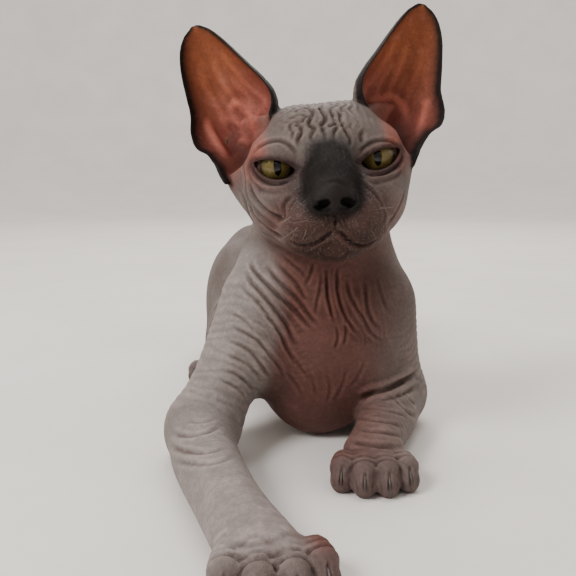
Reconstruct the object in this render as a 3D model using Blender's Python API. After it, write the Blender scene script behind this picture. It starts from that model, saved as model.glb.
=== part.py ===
# A young sphynx cat lying on its chest with its head up, life size: a still, museum-style model.
# The body is modelled whole from rounded masses, blended, then parted into named nodes by thin cuts.
# Tables are in millimetres: x to the cat's left, y towards its tail, z up from the floor.
import math

import bmesh
import bpy
import numpy as np
from mathutils import Euler, Matrix, Vector

MM = 0.001                # metres in a millimetre
GAP = 0.3                 # clear space kept between neighbouring nodes
MARGIN = 3.0              # how far a node's rough cut reaches past its final cut
FLOOR = 0.6               # height at which the underside is cut to small flats
VOXEL = 1.2               # grid that blends the masses

# Driving sizes
EYE_HEIGHT = 137.3        # floor to the middle of the eyes
EYE_RADIUS = 9.5
EYE_SPREAD = 23.2         # midline to an eye's centre
LID = 1.4                 # thickness of an eyelid
CHEST_X = 15.0            # the chest and head sit a little to the left of the rump
HEAD_X = 17.0
HEAD_ROLL = 5.5           # degrees, left ear up
HEAD_PITCH = 0.0
HEAD_YAW = 1.0
PELVIS = (-3.0, 185.0, 5.4)   # x, y and turn in degrees of the hind end
EAR_WALL = 1.7
EAR_TURN = 22.0           # degrees that the ears open outwards
EAR_SHIFT = -1.2          # both ears sit a little towards the cat's right
TAIL_CUTS = (0.36, 0.7)   # where the tail is parted, as a share of its length

HEAD = (Matrix.Translation(Vector((HEAD_X, 0.0, EYE_HEIGHT)))
        @ Euler((math.radians(HEAD_PITCH), math.radians(-HEAD_ROLL), math.radians(HEAD_YAW)), "XYZ")
        .to_matrix().to_4x4())
HIND = (Matrix.Translation(Vector((PELVIS[0], PELVIS[1], 0.0)))
        @ Matrix.Rotation(math.radians(PELVIS[2]), 4, "Z"))
BODY = Matrix.Identity(4)

# Masses of the head in its own frame, whose origin is midway between the eyes: centre, radii.
# A mass with x above 0 is mirrored.
HEAD_MASSES = {
    "cranium": ((0, 21, 2), (30, 31, 24)),
    "crown": ((13, 17, 8), (17, 24, 18)),
    "forehead": ((0, 4, 9), (22, 14, 15)),
    "brow": ((19, 1, 8.5), (13, 8.5, 6.5)),
    "ear root": ((32, 21, 10), (13, 13, 15)),
    "ear flap": ((36.5, 13, -1.5), (9.5, 10, 10.5)),
    "cheekbone": ((25, 9, -8), (13, 18, 15)),
    "jowl": ((20.5, 8, -20), (14.5, 19, 13)),
    "cheek": ((18, -7, -14), (12.5, 12.5, 11)),
    "muzzle root": ((0, -15, -10), (12, 13, 12)),
    "whisker pad": ((9.5, -18, -25), (12, 12, 10.5)),
    "lip edge": ((15, -12, -29), (8, 11, 7.5)),
    "nose": ((0, -28.2, -13.6), (7.8, 5.4, 4.4)),
    "nostril wing": ((5.4, -28, -16), (3.4, 4.6, 3.5)),
    "nose foot": ((0, -28.8, -18), (3.4, 4.4, 3.4)),
    "chin": ((0, -19, -34), (8.5, 8.5, 6.8)),
    "throat": ((0, 8, -23), (24, 25, 13)),
}
# Sweeps: each station is x, y, z and the three radii.
HEAD_SWEEPS = {
    "bridge": [(0, -5, 10, 10, 8, 7), (0, -13, 3, 8.5, 7, 6.5), (0, -20, -3.5, 7.5, 6, 6), (0, -27, -10, 7, 5, 5)],
    "jaw": [(5, -17, -33.5, 7.5, 8, 6.5), (14, -3, -31, 9, 9, 8), (22, 14, -25, 10, 10, 10)],
}
BODY_SWEEPS = {
    "torso": [(15, 30, 43, 27, 21, 36), (15, 46, 46, 35, 20, 44), (13, 76, 45.5, 38, 20, 46),
              (9, 115, 45, 39, 20, 46), (3, 155, 45.5, 39, 20, 46.5), (-2, 195, 46, 37, 20, 47),
              (-4.5, 222, 45, 27, 18, 37)],
    "neck": [(15, 46, 74, 40, 34, 24), (15.5, 42, 90, 37.5, 31, 20), (16.5, 38, 106, 34, 28, 20),
             (17.4, 32, 124, 27, 24, 16)],
    "right arm": [(-16, 27, 66, 18, 20, 22), (-28.5, 12, 38, 15, 17, 19), (-38, -3, 17, 15, 15, 16)],
    "right forearm": [(-40, -4, 15, 15.5, 15, 15), (-35, -36, 13.3, 14.3, 14, 13.8),
                      (-21.5, -76, 11.8, 12.8, 12, 12.3), (-9, -104, 10, 14.8, 11, 10.2)],
    "left arm": [(46, 29, 66, 18, 20, 22), (51.5, 37, 40, 16, 17, 19), (56, 43, 19, 15, 15, 17)],
    "left forearm": [(57, 42, 15, 15, 14, 15), (50, 16, 13, 13.8, 13, 13.5),
                     (41, -12, 11.8, 11.8, 12, 12.3), (38, -22, 10.5, 13.5, 10, 10)],
}
BODY_MASSES = {
    "right shoulder": ((-10, 46, 74), (17, 30, 27)),
    "left shoulder": ((40, 46, 74), (17, 30, 27)),
    "brisket": ((15, 24, 32), (28, 17, 30)),
    "right armpit": ((-11, 17, 42), (14, 12, 18)),
    "left armpit": ((40, 26, 38), (12, 12, 16)),
    "right elbow": ((-44, -7, 13.5), (10.5, 13, 13)),
    "left elbow": ((60.5, 49, 17), (9.5, 11, 12)),
    "rump": ((-5, 215, 50), (32, 26, 40)),
}
# Hind end, in the pelvis frame, mirrored.
HIND_MASSES = {
    "hip": ((20, 8, 58), (26, 40, 37)),
    "thigh": ((33, -16, 43), (23, 46, 42)),
    "knee": ((40, -58, 27), (14, 21, 25)),
}
HIND_SWEEPS = {
    "shank": [(42, -60, 18, 12, 13, 16), (44, -20, 16, 12, 12, 16), (43, 18, 13, 9, 10, 13)],
    "hind foot": [(45, 26, 8.5, 7.5, 9, 9), (46, -10, 7.5, 8, 9, 8), (44, -60, 7, 10, 9, 7.8)],
}
# Feet: where the toes spread from, the heading in degrees from -Y, and the size of a toe.
FEET = {
    "right_forepaw": {"base": (-5.2, -109), "heading": 9.0, "half": 15.0, "size": 1.08},
    "left_forepaw": {"base": (36.6, -33), "heading": -1.0, "half": 12.9, "size": 1.02},
    "right_hindpaw": {"base": (-48.5, 121.5), "heading": 4.0, "half": 10.5, "size": 0.86},
    "left_hindpaw": {"base": (52.5, 131.0), "heading": 6.0, "half": 10.5, "size": 0.86},
}
TOE_SIDE = (-1.0, -0.35, 0.35, 1.0)       # across the paw, as a share of its half width
TOE_REACH = (-1.8, 2.8, 2.4, -2.4)        # how far each toe's tip is ahead of or behind the mean
TAIL = [(-6, 236, 34, 9.5), (-7, 254, 20, 8.2), (2, 268, 9.5, 7.2), (24, 274, 6.5, 6.6),
        (50, 266, 5.8, 6.0), (70, 243, 5.1, 5.3), (78, 212, 4.4, 4.6), (78, 182, 3.8, 4.0),
        (73, 156, 3.2, 3.4)]
PHILTRUM = [(0, -21), (0, -25), (0, -28.5)]         # x and z on the front of the face
LIP_LINE = [(0, -28.5), (4.5, -30.5), (9.5, -34), (14, -36.2), (19, -36.5)]
NOSTRIL = {"at": (4.1, -33.2, -16.4), "radii": (2.1, 3.2, 1.15), "turn": 24.0}
EAR_HOLLOW = {"at": (45, 10, 24), "radii": (22, 14, 22.5)}
# The ear's two edges, from its root up: front edge x, y, z, then back edge x, y, z, then depth of the cup.
EAR = [(22.5, 8, 22.8, 45.0, 3, -6.0, 18.1), (20.2, 7, 29.1, 48.6, 5, 1.2, 19.0),
       (21.1, 7, 34.5, 53.5, 9, 8.4, 19.0), (23.4, 7.5, 38.5, 56.9, 13, 15.6, 18.1),
       (26.5, 8, 42.6, 57.9, 16.5, 24.6, 16.6), (30.1, 9, 46.6, 59.4, 18, 34.5, 14.2),
       (33.8, 10, 51.1, 60.5, 18.5, 43.5, 11.9), (37.6, 11.5, 55.6, 60.7, 18.5, 51.1, 9.5),
       (41.9, 13, 60.4, 59.7, 18.5, 57.5, 6.6), (45.9, 14.5, 64.0, 57.6, 18, 61.8, 3.8),
       (49.5, 16, 66.0, 54.5, 17, 64.9, 1.5),
       (51.3, 16.6, 66.6, 53.0, 16.8, 66.3, 0.4)]
# An eyelid opening in the eye's own plane: width, upper and lower sagitta, tilt in degrees.
OPENING = {"width": 18.2, "upper": 3.3, "lower": 5.0, "tilt": 15.5}
# How softly the masses join, in millimetres: on the face, the feet and the rest.
SOFT = {"nose": 0.8, "face": 1.7, "feet": 0.8, "body": 3.2}


def clear_scene():
    for obj in list(bpy.data.objects):
        bpy.data.objects.remove(obj)


def ball(frame, centre, radii):
    """One ellipsoid, in a frame: the matrix that makes it from a unit ball."""
    return frame @ Matrix.Translation(Vector(centre)) @ Matrix.Diagonal(Vector((*radii, 1.0)))


def smooth_curve(stations, count):
    """Points on a smooth curve through the stations, whatever their number of columns."""
    rows = np.array(stations, float)
    padded = np.vstack([2 * rows[0] - rows[1], rows, 2 * rows[-1] - rows[-2]])
    found = []
    for k in np.linspace(0, len(rows) - 1.000001, count):
        i, t = int(k), k - int(k)
        a, b, c, d = padded[i:i + 4]
        found.append(0.5 * (2 * b + (c - a) * t + (2 * a - 5 * b + 4 * c - d) * t * t
                            + (3 * b - a - 3 * c + d) * t ** 3))
    return np.array(found)


def sweep(frame, stations, step=3.0):
    """A limb or trunk: ellipsoids set close along a smooth curve."""
    rows = np.array(stations, float)
    length = np.linalg.norm(np.diff(rows[:, :3], axis=0), axis=1).sum()
    return [ball(frame, row[:3], row[3:6]) for row in smooth_curve(stations, int(length / step) + 2)]


def mirrored(row):
    return (-row[0], *row[1:])


def masses_of(frame, masses, sweeps):
    """Each mass or sweep as a list of ellipsoids; off the midline, on both sides but for the body's."""
    groups = [[ball(frame, *mass)] for mass in masses.values()]
    groups += [sweep(frame, stations) for stations in sweeps.values()]
    if frame is not BODY:
        groups += [[ball(frame, mirrored(at), radii)] for at, radii in masses.values() if at[0] > 0]
        groups += [sweep(frame, [mirrored(row) for row in rows]) for rows in sweeps.values() if rows[0][0] > 0]
    return groups


def foot_masses(base, heading, half, size):
    """A foot's pad and its four toes, each a raised knuckle behind a rounded tip."""
    turn = Matrix.Translation(Vector((*base, 0))) @ Matrix.Rotation(math.radians(heading), 4, "Z")
    groups = [[ball(turn, (0, 0, 7.6 * size), (half + 2.5, 10 * size, 7.4 * size))]]
    for side, reach in zip(TOE_SIDE, TOE_REACH):
        splay = Matrix.Rotation(math.radians(side * 6), 4, "Z")
        toe = turn @ Matrix.Translation(Vector((side * half, -reach, 0))) @ splay
        groups.append([ball(toe, (0, -2, 8.6 * size), (5.0 * size, 8 * size, 5.9 * size)),
                       ball(toe, (0, -6.5, 8.8 * size), (5.0 * size, 5.6 * size, 5.6 * size)),
                       ball(toe, (0, -9.5, 5.6 * size), (4.9 * size, 5.4 * size, 5.9 * size))])
    return groups


def all_masses():
    groups = masses_of(HEAD, HEAD_MASSES, HEAD_SWEEPS) + masses_of(BODY, BODY_MASSES, BODY_SWEEPS)
    groups += masses_of(HIND, HIND_MASSES, HIND_SWEEPS)
    for foot in FEET.values():
        groups += foot_masses(**foot)
    for side in (-1, 1):
        groups.append([ball(HEAD, (side * EYE_SPREAD, 0, 0), (EYE_RADIUS + LID,) * 3)])
    return groups


def distance(points, shape):
    """Roughly how far points are outside an ellipsoid."""
    inverse = np.array(shape.inverted())
    unit = points @ inverse[:3, :3].T + inverse[:3, 3]
    near = np.linalg.norm(unit, axis=1)
    slope = np.linalg.norm(unit @ inverse[:3, :3], axis=1)
    return near * (near - 1) / np.maximum(slope, 1e-9)


def softness(points):
    """How softly the masses join at each point."""
    head = in_frame(HEAD, points)
    face = np.clip((30 - head[:, 1]) / 20, 0, 1) * np.clip((head[:, 2] + 50) / 12, 0, 1)
    soft = SOFT["body"] + (SOFT["face"] - SOFT["body"]) * face
    nose = np.clip((16 - np.linalg.norm(head - np.array((0, -31, -15)), axis=1)) / 8, 0, 1)
    soft += (SOFT["nose"] - soft) * nose
    for foot in FEET.values():
        away = np.linalg.norm(points[:, :2] - np.array(foot["base"]), axis=1)
        share = np.clip((38 - away) / 18, 0, 1) * (points[:, 2] < 32)
        soft = soft + (SOFT["feet"] - soft) * share
    return soft


def settle(mesh, groups, rounds=4):
    """Moves a mesh's points onto the soft union of the masses."""
    for _ in range(rounds):
        points, normals = coordinates(mesh) / MM, coordinates(mesh, "normal")
        soft = softness(points)
        total = np.zeros(len(points))
        for group in groups:
            least = np.full(len(points), 1e3)
            for shape in group:
                middle = np.array(shape.translation)
                reach = max(np.linalg.norm(shape.col[axis]) for axis in range(3)) + 12
                near = np.flatnonzero((np.abs(points - middle) < reach).all(axis=1))
                least[near] = np.minimum(least[near], distance(points[near], shape))
            total += np.exp(-np.clip(least / soft, -30, 60))
        away = -soft * np.log(np.maximum(total, 1e-20))
        points -= normals * np.clip(away, -2.5, 2.5)[:, None] * 0.9
        set_coordinates(mesh, points * MM)


def mesh_object(name, bm):
    """A hidden working object, in metres."""
    bm.transform(Matrix.Scale(MM, 4))
    mesh = bpy.data.meshes.new(name)
    bm.to_mesh(mesh)
    bm.free()
    obj = bpy.data.objects.new(name, mesh)
    bpy.context.scene.collection.objects.link(obj)
    return obj


def apply_modifiers(obj):
    """Puts the evaluated mesh in place of the object's own."""
    bpy.context.view_layer.update()
    graph = bpy.context.evaluated_depsgraph_get()
    mesh = bpy.data.meshes.new_from_object(obj.evaluated_get(graph), depsgraph=graph)
    obj.modifiers.clear()
    obj.data = mesh


def remesh(obj, voxel):
    """Fuses overlapping closed shapes into one even mesh."""
    fused = obj.modifiers.new("fuse", "REMESH")
    fused.mode = "VOXEL"
    fused.voxel_size = voxel * MM
    apply_modifiers(obj)


def relax(obj, rounds):
    """Evens out the mesh a little."""
    smooth = obj.modifiers.new("relax", "SMOOTH")
    smooth.factor = 0.5
    smooth.iterations = rounds
    apply_modifiers(obj)


def coordinates(mesh, kind="co"):
    values = np.empty(len(mesh.vertices) * 3, np.float32)
    mesh.vertices.foreach_get(kind, values)
    return values.reshape(-1, 3).astype(float)


def set_coordinates(mesh, points):
    mesh.vertices.foreach_set("co", points.astype(np.float32).ravel())
    mesh.update()


def in_frame(frame, points):
    """The points as seen from a frame, in millimetres."""
    inverse = np.array(frame.inverted())
    return points @ inverse[:3, :3].T + inverse[:3, 3]


def press_line(mesh, stations, width, depth):
    """Presses a line, given by x and z on the front of the face, into the surface."""
    points, normals = coordinates(mesh) / MM, coordinates(mesh, "normal")
    local = in_frame(HEAD, points)
    near = np.flatnonzero((np.abs(local[:, 0]) < 26) & (local[:, 1] < -4) & (np.abs(local[:, 2] + 30) < 16))
    away = np.full(len(near), 1e9)
    for at in smooth_curve(stations, 60):
        away = np.minimum(away, np.linalg.norm(local[near][:, (0, 2)] - at, axis=1))
    points[near] -= normals[near] * (depth * np.exp(-(away / width) ** 2))[:, None]
    set_coordinates(mesh, points * MM)


def whole_flesh():
    """The whole body without ears, eyes and tail, as one fine, blended mesh."""
    groups = all_masses()
    bm = bmesh.new()
    for group in groups:
        for shape in group:
            bmesh.ops.create_icosphere(bm, subdivisions=2, radius=1.0, matrix=shape)
    flesh = mesh_object("flesh", bm)
    remesh(flesh, VOXEL * 1.3)
    settle(flesh.data, groups, 3)
    remesh(flesh, VOXEL)
    settle(flesh.data, groups, 2)
    relax(flesh, 2)
    press_line(flesh.data, PHILTRUM, 0.9, 1.2)
    for side in (1, -1):
        press_line(flesh.data, [(side * x, z) for x, z in LIP_LINE], 1.1, 1.8)
    return flesh


# Cutting tools
def box(name, frame, low, high, grow=0.0):
    """A box in a frame, from its low corner to its high one, grown on every side."""
    bm = bmesh.new()
    size = [high[i] - low[i] + 2 * grow for i in range(3)]
    middle = [(high[i] + low[i]) / 2 for i in range(3)]
    bmesh.ops.create_cube(bm, size=1.0, matrix=ball(frame, middle, size))
    return mesh_object(name, bm)


def tube(name, frame, long, radius, grow=0.0):
    """A cylinder from a frame's origin along its -Y axis."""
    bm = bmesh.new()
    place = frame @ Matrix.Translation(Vector((0, -long / 2, 0))) @ Matrix.Rotation(math.pi / 2, 4, "X")
    bmesh.ops.create_cone(bm, cap_ends=True, segments=36, radius1=radius + grow, radius2=radius + grow,
                          depth=long + 2 * grow, matrix=place)
    return mesh_object(name, bm)


def egg(name, frame, centre, radii, grow=0.0, detail=3):
    bm = bmesh.new()
    bmesh.ops.create_icosphere(bm, subdivisions=detail, radius=1.0,
                               matrix=ball(frame, centre, [r + grow for r in radii]))
    return mesh_object(name, bm)


def along(start, end):
    """A frame at start whose -Y axis points to end and whose X axis stays sideways."""
    y = (Vector(start) - Vector(end)).normalized()
    x = (Vector((1, 0, 0)) - y * y.x).normalized()
    z = x.cross(y)
    return Matrix.Translation(Vector(start)) @ Matrix((x, y, z)).transposed().to_4x4()


def combine(obj, other, operation):
    """One Boolean between two closed meshes, applied."""
    cut = obj.modifiers.new("cut", "BOOLEAN")
    cut.operation, cut.solver, cut.object = operation, "MANIFOLD", other
    apply_modifiers(obj)
    bpy.data.objects.remove(other)


def copy_of(obj, name):
    twin = obj.copy()
    twin.data = obj.data.copy()
    twin.name = name
    bpy.context.scene.collection.objects.link(twin)
    return twin


def triangle_count(obj):
    obj.data.calc_loop_triangles()
    return len(obj.data.loop_triangles)


def is_closed(obj):
    bm = bmesh.new()
    bm.from_mesh(obj.data)
    closed = all(edge.is_manifold for edge in bm.edges)
    bm.free()
    return closed


def mend(obj):
    """Merges points that all but touch, which a cut leaves."""
    bm = bmesh.new()
    bm.from_mesh(obj.data)
    bmesh.ops.triangulate(bm, faces=bm.faces)
    bmesh.ops.remove_doubles(bm, verts=bm.verts, dist=0.03 * MM)
    bmesh.ops.dissolve_degenerate(bm, dist=0.01 * MM, edges=bm.edges)
    if all(edge.is_manifold for edge in bm.edges):
        bm.to_mesh(obj.data)
    bm.free()


def thin_out(obj, triangles):
    """Fewer triangles, kept where the surface curves, and still one closed mesh."""
    mend(obj)
    count, fine = triangle_count(obj), obj.data.copy()
    for extra in range(8):
        if count * 1.0 <= triangles * (1 + 0.03 * extra):
            return
        fewer = obj.modifiers.new("fewer", "DECIMATE")
        fewer.ratio = triangles * (1 + 0.03 * extra) / count
        apply_modifiers(obj)
        if is_closed(obj):
            return
        obj.data = fine.copy()


def keep_largest(obj):
    """Drops loose crumbs that a cut left."""
    bm = bmesh.new()
    bm.from_mesh(obj.data)
    seen, bodies = set(), []
    for start in bm.verts:
        if start in seen:
            continue
        seen.add(start)
        body, edge = [start], [start]
        while edge:
            for link in edge.pop().link_edges:
                for vert in link.verts:
                    if vert not in seen:
                        seen.add(vert)
                        body.append(vert)
                        edge.append(vert)
        bodies.append(body)
    bodies.sort(key=len)
    bmesh.ops.delete(bm, geom=[vert for body in bodies[:-1] for vert in body], context="VERTS")
    bm.to_mesh(obj.data)
    bm.free()


def grid_solid(name, front, back):
    """A closed shell between two grids of points with the same rows and columns."""
    rows, columns = front.shape[:2]
    bm = bmesh.new()
    sheets = [[[bm.verts.new(sheet[i, j]) for j in range(columns)] for i in range(rows)]
              for sheet in (front, back)]
    for sheet, order in zip(sheets, (1, -1)):
        for i in range(rows - 1):
            for j in range(columns - 1):
                corners = [sheet[i][j], sheet[i][j + 1], sheet[i + 1][j + 1], sheet[i + 1][j]]
                bm.faces.new(corners[::order])
    rim = ([(0, j) for j in range(columns - 1)] + [(i, columns - 1) for i in range(rows - 1)]
           + [(rows - 1, j) for j in range(columns - 1, 0, -1)] + [(i, 0) for i in range(rows - 1, 0, -1)])
    for (i, j), (k, m) in zip(rim, rim[1:] + rim[:1]):
        bm.faces.new((sheets[0][k][m], sheets[0][i][j], sheets[1][i][j], sheets[1][k][m]))
    bmesh.ops.recalc_face_normals(bm, faces=bm.faces)
    bmesh.ops.triangulate(bm, faces=bm.faces)
    return mesh_object(name, bm)


def ear_shell(name, side, rings=17, across=12):
    """The thin cup of an ear: at each height an arc between its two edges, bulging backwards."""
    turn = math.radians(EAR_TURN)
    behind = np.array((-math.sin(turn), math.cos(turn), 0.0))
    middle = np.zeros((rings, across, 3))
    for i, row in enumerate(smooth_curve(EAR, rings)):
        edge, other, depth = row[0:3], row[3:6], row[6]
        for j, t in enumerate(np.linspace(0, math.pi, across)):
            share = 0.5 - 0.5 * math.cos(t)
            middle[i, j] = edge + (other - edge) * share + behind * depth * math.sin(t) ** 0.85
    up = np.gradient(middle, axis=0)
    over = np.gradient(middle, axis=1)
    normal = np.cross(over, up)
    normal /= np.linalg.norm(normal, axis=2, keepdims=True)
    if (normal[rings // 2, across // 2] @ behind) < 0:
        normal = -normal
    rim = np.minimum(np.linspace(0, 1, across), np.linspace(1, 0, across)) * 6
    wall = EAR_WALL * (0.6 + 0.4 * np.clip(rim, 0, 1))[None, :, None]
    wall = wall * np.linspace(1.2, 0.8, rings)[:, None, None]
    sheets = []
    for share in (-0.5, 0.5):
        local = middle + normal * wall * share
        local[..., 0] = side * local[..., 0] + EAR_SHIFT
        flat = local.reshape(-1, 3)
        frame = np.array(HEAD)
        sheets.append((flat @ frame[:3, :3].T + frame[:3, 3]).reshape(local.shape))
    return grid_solid(name, *sheets)


def grown(obj, grow):
    """A copy of a node, a little larger all round, to cut its neighbour with."""
    twin = copy_of(obj, "grown")
    swell = twin.modifiers.new("swell", "DISPLACE")
    swell.strength, swell.mid_level = grow * MM, 0.0
    apply_modifiers(twin)
    return twin


def eye(name, side):
    bm = bmesh.new()
    place = HEAD @ Matrix.Translation(Vector((side * EYE_SPREAD, 0, 0))) @ Matrix.Rotation(math.pi / 2, 4, "X")
    bmesh.ops.create_uvsphere(bm, u_segments=18, v_segments=11, radius=EYE_RADIUS, matrix=place)
    return mesh_object(name, bm)


def almond(side, count=14):
    """The cutter of an eyelid's opening, a little wider at its front."""
    half, tilt = OPENING["width"] / 2, math.radians(OPENING["tilt"]) * side
    outline = []
    for lid, sagitta in (("upper", OPENING["upper"]), ("lower", -OPENING["lower"])):
        for k in range(count):
            t = -1 + 2 * k / count if lid == "upper" else 1 - 2 * k / count
            outline.append((half * t, sagitta * (1 - t * t) ** 0.8))
    bm = bmesh.new()
    rings = []
    for y, size in ((-1.0, 0.94), (-18.0, 1.12)):
        ring = []
        for x, z in outline:
            x, z = x * size, z * size
            ring.append(bm.verts.new((x * math.cos(tilt) - z * math.sin(tilt), y,
                                      x * math.sin(tilt) + z * math.cos(tilt))))
        rings.append(ring)
    for k in range(len(outline)):
        n = (k + 1) % len(outline)
        bm.faces.new((rings[0][k], rings[0][n], rings[1][n], rings[1][k]))
    bm.faces.new(rings[0][::-1])
    bm.faces.new(rings[1])
    bmesh.ops.recalc_face_normals(bm, faces=bm.faces)
    bm.transform(HEAD @ Matrix.Translation(Vector((side * EYE_SPREAD, 0, 0))))
    return mesh_object("almond", bm)


def open_face(head):
    """Sockets, eyelid openings, nostrils and the hollows that the ears' cups run into."""
    for side in (1, -1):
        combine(head, egg("socket", HEAD, (side * EYE_SPREAD, 0, 0), (EYE_RADIUS + GAP,) * 3), "DIFFERENCE")
        combine(head, almond(side), "DIFFERENCE")
        at, turn = NOSTRIL["at"], math.radians(NOSTRIL["turn"] * side)
        frame = HEAD @ Matrix.Translation(Vector((side * at[0], *at[1:]))) @ Matrix.Rotation(turn, 4, "Y")
        combine(head, egg("nostril", frame, (0, 0, 0), NOSTRIL["radii"], detail=2), "DIFFERENCE")
        hollow = EAR_HOLLOW["at"]
        combine(head, egg("hollow", HEAD, (side * hollow[0], *hollow[1:]), EAR_HOLLOW["radii"]), "DIFFERENCE")


def tail_line():
    """The tail's line in steps of about 0.1 mm: points with radii, and the way ahead."""
    rows = smooth_curve(TAIL, 3000)
    return rows, np.gradient(rows[:, :3], axis=0)


def tail_piece(name, start, end, rings=9, around=12):
    """A length of the tail between two shares of its line, closed at both ends."""
    rows, ahead_of = tail_line()
    choice = np.linspace(start * 2999, end * 2999, rings).astype(int)
    picks, heading = rows[choice], ahead_of[choice]
    bm = bmesh.new()
    loops = []
    for row, ahead in zip(picks, heading):
        y = Vector(ahead).normalized()
        x = y.cross(Vector((0, 0, 1))) if abs(y.z) < 0.95 else Vector((1, 0, 0))
        x.normalize()
        z = x.cross(y)
        loops.append([bm.verts.new(Vector(row[:3]) + (x * math.cos(a) + z * math.sin(a)) * float(row[3]))
                      for a in np.linspace(0, 2 * math.pi, around, endpoint=False)])
    for one, two in zip(loops, loops[1:]):
        for k in range(around):
            n = (k + 1) % around
            bm.faces.new((one[k], one[n], two[n], two[k]))
    for loop, step in ((loops[0], -1), (loops[-1], 1)):
        bm.faces.new(loop[::step])
    if end >= 1.0:
        tip = Vector(picks[-1][:3]) + Vector(heading[-1]).normalized() * float(picks[-1][3]) * 0.9
        bm.faces.ensure_lookup_table()
        bmesh.ops.poke(bm, faces=[bm.faces[-1]])
        bm.verts.ensure_lookup_table()
        bm.verts[-1].co = tip
    bmesh.ops.recalc_face_normals(bm, faces=bm.faces)
    return mesh_object(name, bm)


def ground():
    return box("ground", BODY, (-300, -300, -200), (300, 500, FLOOR))


# The parts of the body: each cell is the space that a node keeps to itself.
NECK_FRAME = Matrix.Translation(Vector((17, 5, 98.5))) @ Matrix.Rotation(math.radians(30), 4, "X")
CHEST_FRAME = Matrix.Translation(Vector((15, 5, 74))) @ Matrix.Rotation(math.radians(19), 4, "X")
ARMS = {
    "right": {"shoulder": (-8, 52, 84), "elbow": (-40, -8, 12), "point": (-42, 2, 14), "cut": (-39, -14, 14), "wrist": (-18, -86, 11),
              "toes": (-4, -132, 11)},
    "left": {"shoulder": (38, 48, 84), "elbow": (64, 54, 4), "point": (62, 50, 14), "cut": (55, 31, 14), "wrist": (40.5, -12, 11.5),
             "toes": (37, -60, 11)},
}


def side_of(name):
    return "right" if name.endswith("right") else "left"


def cell(name, grow=0.0):
    """The closed shape that a node keeps to itself."""
    arm = ARMS[side_of(name)]
    turn = -1 if name.endswith("right") else 1
    if name == "head":
        return box(name, NECK_FRAME, (-90, -90, 0), (90, 120, 120), grow)
    if name == "neck":
        return box(name, CHEST_FRAME, (-90, -60, 0), (90, 120, 160), grow)
    if name.startswith("upper_arm"):
        long = (Vector(arm["shoulder"]) - Vector(arm["elbow"])).length
        whole = egg(name, along(arm["shoulder"], arm["elbow"]), (turn * 40, -long / 2, 4),
                    (58, long / 2 + 18, 34), grow)
        combine(whole, egg(name, BODY, arm["point"], (20, 26, 22), grow), "UNION")
        return whole
    if name.startswith("forearm"):
        frame = along(arm["cut"], arm["wrist"])
        return tube(name, frame, (Vector(arm["cut"]) - Vector(arm["wrist"])).length, 19, grow)
    if name.startswith("forepaw"):
        return box(name, along(arm["wrist"], arm["toes"]), (-32, -60, -30), (32, 0, 30), grow)
    if name.startswith("hind_foot"):
        return box(name, HIND, (turn * 48 - 14, -100, -20), (turn * 48 + 14, 45, 14), grow)
    return egg(name, HIND, (turn * 75, -20, 46), (56, 76, 64), grow)


# Nodes cut from the flesh: what each leaves to its neighbours, and its number of triangles.
FLESH_NODES = {
    "head": {"leave": (), "triangles": 3500},
    "neck": {"leave": ("head",), "triangles": 520},
    "forepaw_right": {"leave": (), "triangles": 820},
    "forepaw_left": {"leave": (), "triangles": 820},
    "forearm_right": {"leave": ("forepaw_right",), "triangles": 420},
    "forearm_left": {"leave": ("forepaw_left",), "triangles": 420},
    "upper_arm_right": {"leave": ("neck", "forearm_right"), "triangles": 560},
    "upper_arm_left": {"leave": ("neck", "forearm_left"), "triangles": 560},
    "hind_foot_right": {"leave": (), "triangles": 600},
    "hind_foot_left": {"leave": (), "triangles": 600},
    "thigh_right": {"leave": ("hind_foot_right",), "triangles": 520},
    "thigh_left": {"leave": ("hind_foot_left",), "triangles": 520},
    "torso": {"leave": ("head", "neck", "upper_arm_right", "upper_arm_left", "forearm_right", "forearm_left",
                        "thigh_right", "thigh_left", "hind_foot_right", "hind_foot_left"), "triangles": 1900},
}


def part_out(flesh, name, leave, triangles):
    """Cuts one node from the flesh, leaving a thin gap to its neighbours."""
    node = copy_of(flesh, name)
    if name != "torso":
        combine(node, cell(name, MARGIN), "INTERSECT")
    thin_out(node, triangles)
    if name != "torso":
        combine(node, cell(name), "INTERSECT")
    for other in leave:
        combine(node, cell(other, GAP), "DIFFERENCE")
    combine(node, ground(), "DIFFERENCE")
    keep_largest(node)
    return node


# Looks of the plain solids: base colour and roughness by the start of a node's name.
COLOURS = {"eye": (0.30, 0.25, 0.10), "ear": (0.30, 0.20, 0.17), "head": (0.22, 0.18, 0.165),
           "fore": (0.30, 0.27, 0.26), "": (0.26, 0.21, 0.195)}


def paint(obj):
    """A material of the node's own."""
    material = bpy.data.materials.new(obj.name)
    material.use_nodes = True
    shader = material.node_tree.nodes["Principled BSDF"]
    colour = next(COLOURS[start] for start in COLOURS if obj.name.startswith(start))
    shader.inputs["Base Color"].default_value = (*colour, 1.0)
    shader.inputs["Roughness"].default_value = 0.08 if obj.name.startswith("eye") else 0.6
    obj.data.materials.clear()
    obj.data.materials.append(material)


def stand_on_origin(nodes):
    """Moves everything so that the origin is below the middle of the whole, on the floor."""
    every = np.vstack([coordinates(node.data) for node in nodes])
    low, high = every.min(axis=0), every.max(axis=0)
    shift = Vector((-(low[0] + high[0]) / 2, -(low[1] + high[1]) / 2, -low[2]))
    for node in nodes:
        node.data.transform(Matrix.Translation(shift))
    return shift


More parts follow.
